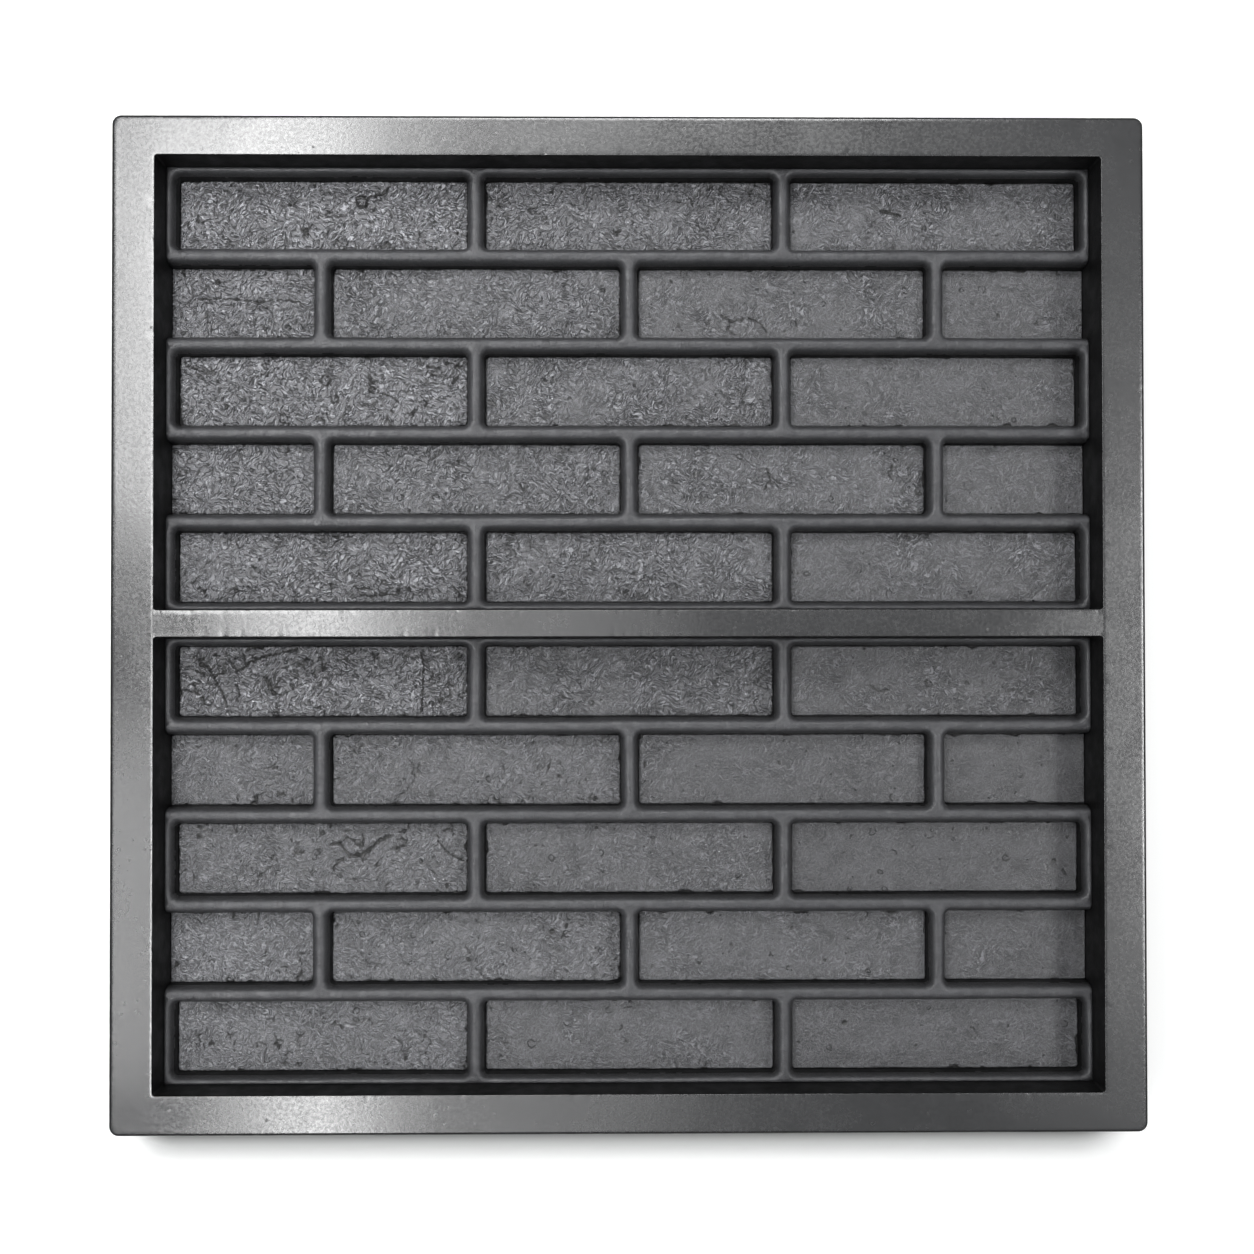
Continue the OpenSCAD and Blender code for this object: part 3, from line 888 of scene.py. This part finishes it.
def ridge_section():
    """From the sunk floor up and over a full round bead, as (distance from the foot, level)."""
    power = 2 / BEAD_FULLNESS
    section = [(-0.12 * MM, -FLOOR_SINK)]
    for turn in np.linspace(0, math.pi / 2, 13)[:-1]:
        section.append((JOINT_W / 2 * (1 - math.cos(turn) ** power), RIDGE_H * math.sin(turn) ** power))
    return section + [(JOINT_W / 2, RIDGE_H)]


def course_bricks(course):
    """The course's bricks as (foot start, foot end, open on the left, open on the right)."""
    if course % 2 == 0:
        middles = [(i - (BRICKS - 1) / 2) * PITCH_X for i in range(BRICKS)]
        return [(m - BRICK_L / 2, m + BRICK_L / 2, False, False) for m in middles]
    middles = [(i - (BRICKS - 2) / 2) * PITCH_X for i in range(BRICKS - 1)]
    whole = [(m - BRICK_L / 2, m + BRICK_L / 2, False, False) for m in middles]
    foot = whole[-1][1] + JOINT_W
    return [(-MAT_HALF[0], -foot, True, False), *whole, (foot, MAT_HALF[0], False, True)]


def course_middle(course):
    return EDGE_BEAD_W + BRICK_W / 2 + course * PITCH_Y - FLOOR_W / 2


def pocket_loops(outer, low, high, open_left, open_right, section):
    """Loops from the pocket's foot out to the crowns round it. low and high are the foot's corners."""
    core_low, core_high = low + BRICK_CORNER_R, high - BRICK_CORNER_R
    core_low[0] = -1.0 if open_left else core_low[0]
    core_high[0] = 1.0 if open_right else core_high[0]
    core = np.clip(outer, core_low, core_high)
    away = outer - core
    span_low, span_high = core_low - outer.min(0), outer.max(0) - core_high
    span = np.where(away < 0, span_low, span_high)
    unit = away / span
    unit = unit / np.maximum(np.linalg.norm(unit, axis=1, keepdims=True), 1e-12)
    reach_full = JOINT_W / 2
    loops = []
    for distance, level in section[:-1]:
        scaled = distance * np.where(distance > 0, (span - BRICK_CORNER_R) / reach_full, 1.0)
        loops.append((core + unit * (BRICK_CORNER_R + scaled), level))
    loops.append((outer, RIDGE_H))
    return [np.column_stack([plan, np.full(len(plan), level)]) for plan, level in loops]


def crown_rows():
    """The levels in Y of the crown lines between the courses, walls included."""
    inner = [course_middle(c) + PITCH_Y / 2 for c in range(COURSES - 1)]
    return [-MAT_HALF[1], *inner, MAT_HALF[1]]


def pocket_outline(x, y, open_left, open_right):
    """The crown line round a pocket. It is a loop, or runs from wall to wall round an open pocket."""
    lower = np.stack([x, np.full(len(x), y[0])], -1)
    upper = np.stack([x[::-1], np.full(len(x), y[-1])], -1)
    right = np.stack([np.full(len(y), x[-1]), y], -1)
    left = np.stack([np.full(len(y), x[0]), y[::-1]], -1)
    if open_right:
        return np.concatenate([upper[:-1], left[:-1], lower])
    if open_left:
        return np.concatenate([lower[:-1], right[:-1], upper])
    return np.concatenate([lower[:-1], right[:-1], upper[:-1], left[:-1]])


def make_ridges(name, node, turn, seed):
    section = ridge_section()
    reach = BRICK_CORNER_R + JOINT_W / 2
    joints = [k * PITCH_X / 2 for k in range(1 - BRICKS, BRICKS)]
    joints = [x for x in joints if abs(x) < MAT_HALF[0]]
    fine, coarse = 1.15 * MM, 2.4 * MM
    all_x = stations((-MAT_HALF[0], *joints, MAT_HALF[0]), reach, fine, coarse)
    rows = crown_rows()
    points, faces, count = [], [], 0
    for course in range(COURSES):
        y = stations(rows[course:course + 2], reach, fine, coarse)
        for start, end, open_left, open_right in course_bricks(course):
            closed = not (open_left or open_right)
            x_low = start if open_left else max(start - JOINT_W / 2, -MAT_HALF[0])
            x_high = end if open_right else min(end + JOINT_W / 2, MAT_HALF[0])
            x = all_x[(all_x > x_low - TOUCH) & (all_x < x_high + TOUCH)]
            outer = pocket_outline(x, y, open_left, open_right)
            middle = course_middle(course)
            low, high = np.array([start, middle - BRICK_W / 2]), np.array([end, middle + BRICK_W / 2])
            loops = pocket_loops(outer, low, high, open_left, open_right, section)
            points += loops
            size = len(outer)
            faces += (table_faces(len(loops), size, ring_columns=closed) + count).tolist()
            faces.append(list(range(count, count + size)))
            count += len(loops) * size
    points = np.concatenate(points)
    for axis in (0, 1):
        at_wall = np.abs(points[:, axis]) > MAT_HALF[axis] - TOUCH
        points[at_wall, axis] += np.sign(points[at_wall, axis]) * points[at_wall, 2] * WALL_SLOPE
    points[:, 2] += BRICK_Z
    piece = new_piece(name, points, faces, {})
    close_mat(piece)
    plan = np.zeros(len(piece.data.vertices) * 3)
    piece.data.vertices.foreach_get("co", plan)
    plan = plan.reshape(-1, 3)
    from_wall = np.min(np.array(MAT_HALF) - np.abs(plan[:, :2]), axis=1)
    free = np.clip(from_wall / (4 * MM), 0, 1)
    piece.data.attributes.new("free", "FLOAT", "POINT").data.foreach_set("value", free.astype(np.float32))
    plan[:, :2] = plan[:, :2] * turn + (0, TRAY_Y * turn)
    piece.data.vertices.foreach_set("co", plan.ravel())
    run_tree(piece, RIDGES, finish=RIDGE_FINISH, upright_finish=UPRIGHT_FINISH, seed=seed)
    seat(piece, "mat_rubber", node)


def close_mat(piece):
    """Joins the pockets, carries the rim down to the flange and closes the back."""
    work = bmesh.new()
    work.from_mesh(piece.data)
    bmesh.ops.remove_doubles(work, verts=work.verts, dist=TOUCH)
    skirt_z = BRICK_Z - FLOOR_SINK - 0.4 * MM
    flange_low = (-MAT_HALF[0] - FLANGE_W + MAT_GAP, -MAT_HALF[1] - BAR_FLANGE_W + MAT_GAP)
    flange_high = (MAT_HALF[0] + FLANGE_W - MAT_GAP, MAT_HALF[1] + FLANGE_W - MAT_GAP)
    rim = [edge for edge in work.edges if edge.is_boundary]
    for reach_out, level in ((False, skirt_z), (True, skirt_z), (True, BOARD_T)):
        made = bmesh.ops.extrude_edge_only(work, edges=rim)["geom"]
        for vert in (v for v in made if isinstance(v, bmesh.types.BMVert)):
            for axis in (0, 1):
                if abs(vert.co[axis]) > MAT_HALF[axis] - 1e-5:
                    side = vert.co[axis] > 0
                    limits = (flange_low[axis], flange_high[axis]) if reach_out else (
                        -MAT_HALF[axis], MAT_HALF[axis])
                    vert.co[axis] = limits[side]
            vert.co.z = level
        rim = [e for e in made if isinstance(e, bmesh.types.BMEdge)]
    bmesh.ops.contextual_create(work, geom=rim)
    bmesh.ops.recalc_face_normals(work, faces=work.faces)
    work.to_mesh(piece.data)
    work.free()


# Marks that stand out on single bricks, as (kind, size, points), in millimetres on the whole object

BRICK_MARKS = [
    ("crater", 6.0, [(-228, 361)]),
    ("crease", 1.5, [(-222, 365), (-210, 368), (-204, 374)]),
    ("crease", 2.4, [(217, 354), (224, 353), (232, 350)]),
    ("crease", 1.2, [(-188, 350), (-182, 343), (-178, 331)]),
    ("crease", 1.5, [(-366, 277), (-340, 278), (-318, 275), (-296, 277), (-281, 275)]),
    ("crease", 1.2, [(-318, 275), (-306, 268), (-300, 258)]),
    ("crease", 2.2, [(80, 264), (88, 259), (98, 261)]),
    ("crease", 1.8, [(88, 259), (84, 252), (90, 248)]),
    ("crease", 1.4, [(102, 262), (112, 258), (118, 250)]),
    ("ring", 4.0, [(-259, 208)]),
    ("ring", 3.0, [(-251, 192)]),
    ("crater", 3.2, [(-219, 200)]),
    ("crease", 1.2, [(-214, 198), (-204, 195), (-197, 190)]),
    ("stain", 7.0, [(-259, 72)]),
    ("ring", 3.2, [(312, 305)]),
    ("crater", 2.2, [(228, 140)]),
    ("crease", 1.6, [(226, 136), (222, 128), (226, 122)]),
    ("crease", 1.4, [(118, 133), (121, 124), (116, 116)]),
    ("crease", 2.0, [(-365, -34), (-358, -36), (-354, -44), (-346, -58), (-342, -70)]),
    ("crease", 1.4, [(-372, -38), (-362, -42), (-354, -44), (-345, -41)]),
    ("crease", 2.0, [(-340, -30), (-334, -40), (-326, -36), (-328, -26)]),
    ("crease", 2.6, [(-310, -44), (-306, -51), (-303, -58)]),
    ("crease", 1.4, [(-303, -58), (-296, -60)]),
    ("crease", 1.8, [(-325, -33), (-310, -27), (-296, -24), (-282, -21)]),
    ("crease", 1.8, [(-333, -66), (-331, -58), (-334, -52)]),
    ("crease", 1.6, [(-262, -32), (-260, -40), (-258, -33)]),
    ("crease", 1.2, [(-178, -24), (-175, -32), (-176, -58), (-177, -76)]),
    ("crater", 3.0, [(-301, -76)]),
    ("crease", 2.2, [(-254, -187), (-246, -186), (-238, -197), (-226, -195), (-212, -184), (-204, -180)]),
    ("crease", 1.4, [(-246, -186), (-240, -181), (-233, -184)]),
    ("ring", 2.2, [(-231, -185)]),
    ("ring", 2.4, [(-266, -194)]),
    ("crease", 1.8, [(-252, -208), (-248, -202), (-243, -199)]),
    ("crease", 1.2, [(-163, -184), (-155, -194), (-142, -201), (-134, -202)]),
    ("crater", 2.4, [(-232, -336)]),
    ("crease", 1.3, [(205, -52), (214, -58), (222, -56)]),
    ("ring", 3.0, [(-90, 118)]),
    ("crater", 2.0, [(-40, -148)]),
]


def distance_to(path, x, y):
    """Distance of each point from a path of straight stretches, in millimetres."""
    best = np.hypot(x - path[0][0], y - path[0][1])
    for (ax, ay), (bx, by) in zip(path, path[1:]):
        dx, dy = bx - ax, by - ay
        along = np.clip(((x - ax) * dx + (y - ay) * dy) / (dx * dx + dy * dy), 0, 1)
        best = np.minimum(best, np.hypot(x - ax - along * dx, y - ay - along * dy))
    return best


def mark_heights(x, y):
    """Height of the single marks at points given in metres on the whole object."""
    x, y = x / MM, y / MM
    wander = 0.8 * np.sin(x * 0.9 + y * 0.7) + 0.6 * np.sin(y * 1.3 - x * 0.5)
    total = np.zeros(x.shape)
    for kind, size, path in BRICK_MARKS:
        distance = distance_to(path, x + 0.5 * wander, y - 0.5 * wander)
        if kind == "crease":
            total -= 1.1 * np.exp(-(distance / (0.62 * size)) ** 2)
            total += 0.25 * np.exp(-((distance - 1.5 * size) / (0.6 * size)) ** 2)
        elif kind == "ring":
            total -= 0.9 * np.exp(-((distance - size) / 0.95) ** 2)
        elif kind == "crater":
            total -= 1.1 * np.exp(-((distance - 0.75 * size) / (0.3 * size)) ** 2)
            total += 0.35 * np.exp(-((distance - 1.25 * size) / (0.25 * size)) ** 2)
        else:
            total -= 0.3 * np.exp(-(distance / size) ** 2)
    return total * MM


def inset_from_foot(x, y, low, high, open_left, open_right):
    """How far each point lies inside the brick's foot outline."""
    low, high = list(low), list(high)
    low[0] -= 1.0 if open_left else 0.0
    high[0] += 1.0 if open_right else 0.0
    middle = [(a + b) / 2 for a, b in zip(low, high)]
    qx = np.abs(x - middle[0]) - ((high[0] - low[0]) / 2 - BRICK_CORNER_R)
    qy = np.abs(y - middle[1]) - ((high[1] - low[1]) / 2 - BRICK_CORNER_R)
    outside = np.hypot(np.maximum(qx, 0), np.maximum(qy, 0)) + np.minimum(np.maximum(qx, qy), 0)
    return BRICK_CORNER_R - outside


def brick_shell(low, high, open_left, open_right, spacing):
    """A closed slab whose top is a fine grid, as points, faces and the values top and edge."""
    x_low = low[0] if open_left else low[0] - FACE_REACH
    x_high = high[0] if open_right else high[0] + FACE_REACH
    y_low, y_high = low[1] - FACE_REACH, high[1] + FACE_REACH
    columns = math.ceil((x_high - x_low) / spacing) + 1
    rows = math.ceil((y_high - y_low) / spacing) + 1
    x, y = np.meshgrid(np.linspace(x_low, x_high, columns), np.linspace(y_low, y_high, rows))
    x, y = x.ravel(), y.ravel()
    index = np.arange(rows * columns).reshape(rows, columns)
    border = np.concatenate([index[0, :-1], index[:-1, -1], index[-1, :0:-1], index[:0:-1, 0]])
    size, upper = len(border), rows * columns
    points = np.column_stack([x, y, np.full(upper, BRICK_Z)])
    bottom = np.column_stack([x[border], y[border], np.full(size, FACE_BOTTOM_Z)])
    faces = table_faces(rows, columns).tolist()
    for i in range(size):
        j = (i + 1) % size
        faces.append([border[i], upper + i, upper + j, border[j]])
    faces.append([upper + i for i in reversed(range(size))])
    top = np.concatenate([np.ones(upper), np.zeros(size)])
    all_points = np.concatenate([points, bottom])
    edge = inset_from_foot(all_points[:, 0], all_points[:, 1], low, high, open_left, open_right)
    return all_points, faces, top, edge


# How deep a brick's print is: at least, more towards the left, by chance, and more in the top course. The
# brick finish also paints deeper prints lighter: painted light.
PRINT_LEAST, PRINT_LEFT, PRINT_CHANCE, PRINT_TOP = 0.12, 0.62, 0.2, 0.14


def make_course_faces(name, node, turn, course, seed, spacing, chance):
    middle = course_middle(course)
    at_top = turn > 0 and course == COURSES - 1
    points, faces, top, edge, coarse = [], [], [], [], []
    count = 0
    for start, end, open_left, open_right in course_bricks(course):
        low, high = (start, middle - BRICK_W / 2), (end, middle + BRICK_W / 2)
        shell, shell_faces, shell_top, shell_edge = brick_shell(low, high, open_left, open_right, spacing)
        faces += [[i + count for i in face] for face in shell_faces]
        count += len(shell)
        left_share = 0.5 - (start + end) / 4 / MAT_HALF[0] * turn
        print_depth = PRINT_LEAST + PRINT_LEFT * left_share + PRINT_CHANCE * chance.random()
        print_depth += PRINT_TOP if at_top else 0.0
        coarse.append(np.full(len(shell), print_depth))
        points.append(shell)
        top.append(shell_top)
        edge.append(shell_edge)
    points = np.concatenate(points)
    points[:, :2] = points[:, :2] * turn + (0, TRAY_Y * turn)
    values = {"top": np.concatenate(top), "edge": np.concatenate(edge), "coarse": np.concatenate(coarse),
              "mark": mark_heights(points[:, 0], points[:, 1])}
    piece = new_piece(name, points, faces, values)
    run_tree(piece, BRICK_RELIEF, finish=BRICK_FINISH, seed=seed)
    seat(piece, "mat_rubber", node)


def make_mats():
    """Both mats, the lower one turned half round."""
    spacing = 0.95 * MM
    chance = np.random.default_rng(7)
    for place, turn, seed in (("upper", 1, 3.0), ("lower", -1, 4.0)):
        node = f"{place}_brick_mat"
        make_ridges(f"{place}_mat_ridges", node, turn, seed)
        for course in range(COURSES):
            name = f"{place}_mat_course_{course + 1}"
            make_course_faces(name, node, turn, course, seed, spacing, chance)


# Screws and inserts in the back

def spread(reach, count):
    return np.linspace(-reach, reach, count)


SCREW_EDGE, BAR_SCREW_EDGE = 12 * MM, 30 * MM
INSERT_L = 12 * MM
SCREW_X, SCREW_Y = OUTER_HALF[0] - SCREW_EDGE, OUTER_HALF[1] - SCREW_EDGE
FRAME_POINTS = [(x, side * SCREW_Y) for x in spread(SCREW_X, 5) for side in (-1, 1)]
FRAME_POINTS += [(side * SCREW_X, y) for y in spread(SCREW_Y, 5)[1:-1] for side in (-1, 1)]
BAR_POINTS = [(x, 0.0) for x in spread(FLOOR_HALF_L - BAR_SCREW_EDGE, 5)]


def ring_points(radius, level, turns):
    """Points round Z, at one radius or at one for each turn."""
    return np.stack([radius * np.cos(turns), radius * np.sin(turns), np.full(len(turns), level)], -1)


def revolved(outline, sides):
    """A wall turned round Z from (radius, level) pairs, open between its first and last rings."""
    turns = np.linspace(0, math.tau, sides, endpoint=False)
    rings = [ring_points(radius, level, turns) for radius, level in outline]
    return np.concatenate(rings), table_faces(len(outline), sides, ring_columns=True).tolist()


def band(low, high, sides):
    """Quads between two rings, each given by the number of its first point."""
    steps = [(i, (i + 1) % sides) for i in range(sides)]
    return [[low + i, low + j, high + j, high + i] for i, j in steps]


def screw_model():
    """Countersunk screw, head down: hexagon socket, rounded rim, cone, shank and rolled thread."""
    head_r, shank_r, sink = 6 * MM, 3 * MM, 0.3 * MM
    socket_r, socket_h, socket_bevel = 2.31 * MM, 2.2 * MM, 0.25 * MM
    pitch, thread_h = 1.0 * MM, 0.45 * MM
    sides = 24
    end = BOARD_T + INSERT_L
    outline = [(head_r - 0.5 * MM, sink), (head_r - 0.12 * MM, sink + 0.1 * MM), (head_r, sink + 0.35 * MM),
               (head_r - 0.15 * MM, sink + 0.6 * MM), (shank_r, sink + 3 * MM)]
    level = sink + 4 * MM
    while level < end - 1.5 * MM:
        for depth, share in ((0, 0), (0, 0.15), (thread_h, 0.5), (thread_h, 0.6)):
            outline.append((shank_r - depth, level + share * pitch))
        level += pitch
    outline += [(shank_r, level), (shank_r - 0.6 * MM, end)]
    points, faces = revolved(outline, sides)
    turns = np.linspace(0, math.tau, sides, endpoint=False)
    flat = math.pi / 6
    hexagon = socket_r * math.cos(flat) / np.cos((turns % (2 * flat)) - flat)
    rings = [ring_points(hexagon + socket_bevel, sink, turns),
             ring_points(hexagon, sink + socket_bevel, turns), ring_points(hexagon, sink + socket_h, turns)]
    start = len(points)
    floor = start + 2 * sides
    faces += band(start, 0, sides) + band(start + sides, start, sides) + band(floor, start + sides, sides)
    faces.append([floor + i for i in range(sides)])
    faces.append([start - sides + i for i in range(sides)])
    return np.concatenate([points, *rings]), faces


def insert_model():
    """Knurled threaded insert: two toothed bands with a plain waist between them."""
    bore_r, out_r, waist_r, rim_r = 3.05 * MM, 4.5 * MM, 3.9 * MM, 4.1 * MM
    tooth_h = 0.25 * MM
    sides = 48
    outline = [(bore_r, 0), (rim_r, 0), (out_r, 0.04), (out_r, 0.4), (waist_r, 0.44),
               (waist_r, 0.56), (out_r, 0.6), (out_r, 0.96), (rim_r, 1), (bore_r, 1)]
    points, faces = revolved([(r, BOARD_T + share * INSERT_L) for r, share in outline], sides)
    radius = np.hypot(points[:, 0], points[:, 1])
    tooth = (np.arange(len(points)) % 2 == 1) & (radius > out_r - 0.1 * MM)
    points[tooth, :2] *= 1 - tooth_h / out_r
    return points, faces + band(len(points) - sides, 0, sides)


def make_fasteners(name, node, slot, model, points, finish, seed):
    """One piece of all copies of a fastener, each on its point."""
    fastener = new_piece(name + "_model", *model, {})
    recalculate(fastener)
    piece = new_piece(name, [(x, y, 0.0) for x, y in points], [], {})
    run_tree(piece, FASTENERS, fastener=fastener, seed=seed, finish=finish)
    piece.data.set_sharp_from_angle(angle=math.radians(35))
    bpy.data.objects.remove(fastener)
    seat(piece, slot, node)


def make_back():
    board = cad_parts["backing_board"]
    board.data.materials.clear()
    board.data.materials.append(BOARD_FINISH)
    for part, points, seed in (("frame", FRAME_POINTS, 1), ("divider", BAR_POINTS, 2)):
        make_fasteners(f"{part}_countersunk_screws", f"{part}_screws", "screw_steel", screw_model(), points,
                       STEEL_FINISH, seed)
        make_fasteners(f"{part}_knurled_inserts", f"{part}_inserts", "insert_brass", insert_model(), points,
                       BRASS_FINISH, seed + 10)


# Floor, light and camera

# How much the camera sees of the floor's own white, from near the object and from far off
NEAR_LIFT, FAR_LIFT = 0.45, 0.6
WORLD_LEVEL = 0.24


def make_floor():
    """A pale floor that the camera sees as white, with the object's shadow on it and a painted shadow
    darkening it just in front of the object's front edge.
    """
    reach = 4
    corners = [(-reach, -reach, 0), (reach, -reach, 0), (reach, reach, 0), (-reach, reach, 0)]
    floor = new_piece("floor", corners, [(0, 1, 2, 3)], {})
    paint, nodes, shader, place = new_finish("pale_floor")
    shader.inputs["Roughness"].default_value = 0.9
    shader.inputs["Specular IOR Level"].default_value = 0.0
    shader.inputs["Emission Color"].default_value = (1, 1, 1, 1)
    at = nodes.parts(place["Object"])
    below = nodes.minus(nodes.times(at[1], -1.0), OUTER_HALF[1])
    past = [nodes.minus(nodes.math("ABSOLUTE", at[i]), OUTER_HALF[i]) for i in (0, 1)]
    away = nodes.math("MAXIMUM", *past)
    beside = nodes.ramp(past[0], -40 * MM, 20 * MM, 1.0, 0.0)
    in_front = nodes.times(nodes.ramp(below, -10 * MM, 0.0), beside)
    # A painted shadow: the floor's colour darkens from white to dark grey within a few centimetres in front
    # of the object's front edge.
    shade = nodes.times(nodes.ramp(below, 16 * MM, 31 * MM, 1.0, 0.0), in_front)
    link(nodes, mixed(nodes, shade, grey(0.9, 1.0), grey(0.2, 1.0)), shader, "Base Color")
    at_foot = nodes.times(nodes.ramp(below, 0.0, 15 * MM), nodes.ramp(below, 20 * MM, 55 * MM, 1.0, 0.0))
    near = nodes.ramp(nodes.times(at_foot, beside), 0.0, 1.0, NEAR_LIFT, 0.0)
    lift = nodes.plus(near, nodes.ramp(away, 0.2, 1.2, 0.0, FAR_LIFT))
    seen = nodes.add("ShaderNodeLightPath").outputs
    anyhow = nodes.math("MAXIMUM", seen["Is Camera Ray"], seen["Is Glossy Ray"])
    link(nodes, nodes.times(anyhow, lift), shader, "Emission Strength")
    floor.data.materials.append(paint)


def make_world():
    """A dim, even light all round that the camera sees as white."""
    world = bpy.data.worlds.new("studio")
    bpy.context.scene.world = world
    world.use_nodes = True
    nodes = Nodes(world.node_tree)
    seen = nodes.add("ShaderNodeLightPath").outputs["Is Camera Ray"]
    background = world.node_tree.nodes["Background"]
    background.inputs["Color"].default_value = (0.96, 0.98, 1.0, 1)
    link(nodes, nodes.ramp(seen, 0.0, 1.0, WORLD_LEVEL, 1.0), background, "Strength")


def make_panel(name, centre, size, radiance, target=None):
    """A rectangular lamp, aimed at a target or straight down. Its power follows from radiance and size."""
    lamp = bpy.data.lights.new(name, "AREA")
    lamp.shape = "RECTANGLE"
    lamp.size, lamp.size_y = size
    lamp.energy = radiance * math.pi * size[0] * size[1]
    panel = bpy.data.objects.new(name, lamp)
    bpy.context.scene.collection.objects.link(panel)
    panel.location = centre
    aim = np.array(target or (centre[0], centre[1], 0)) - np.array(centre)
    aim = aim / np.linalg.norm(aim)
    panel.rotation_euler = (math.asin(aim[1]), math.atan2(-aim[0], -aim[2]), 0)


def make_lamps():
    """Softboxes above the left, a weak one in the middle, and lamps on the right and at the back."""
    height = 1.55
    make_panel("left_strip", (-0.585, 0.05, height), (0.17, 3.0), 8.0)
    make_panel("far_left_box", (-0.83, 0.66, height), (0.34, 0.9), 5.0)
    make_panel("near_left_box", (-0.97, -0.5, height), (0.22, 0.7), 2.4)
    make_panel("middle_fill", (-0.17, 0.05, height), (0.5, 2.8), 0.7)
    make_panel("right_key", (1.42, -0.12, 1.7), (0.3, 1.2), 8.6, (0.2, 0, 0))
    make_panel("right_fill", (0.93, -0.05, height), (0.3, 2.0), 0.22)
    make_panel("back_panel", (0.1, 1.7, 2.0), (1.2, 0.5), 8.0, (0, 0, 0))


def make_camera():
    """Fitted to the object's corners in the photograph: nearly straight above its middle."""
    photo_pixels, focal_pixels, shift_pixels = 1254, 1414.2, 8.99
    sensor = 36.0
    camera = bpy.data.objects.new("camera", bpy.data.cameras.new("camera"))
    bpy.context.scene.collection.objects.link(camera)
    camera.location = (-14.33 * MM, -24.11 * MM, 1227.85 * MM)
    camera.rotation_euler = [math.radians(a) for a in (0.666, -0.591, -0.061)]
    camera.data.sensor_width = sensor
    camera.data.lens = sensor * focal_pixels / photo_pixels
    camera.data.shift_y = shift_pixels / photo_pixels
    bpy.context.scene.camera = camera


make_outer_frame()
make_divider_bar()
make_mats()
make_back()
make_floor()
make_world()
make_lamps()
make_camera()
bpy.context.scene.view_settings.view_transform = "Standard"
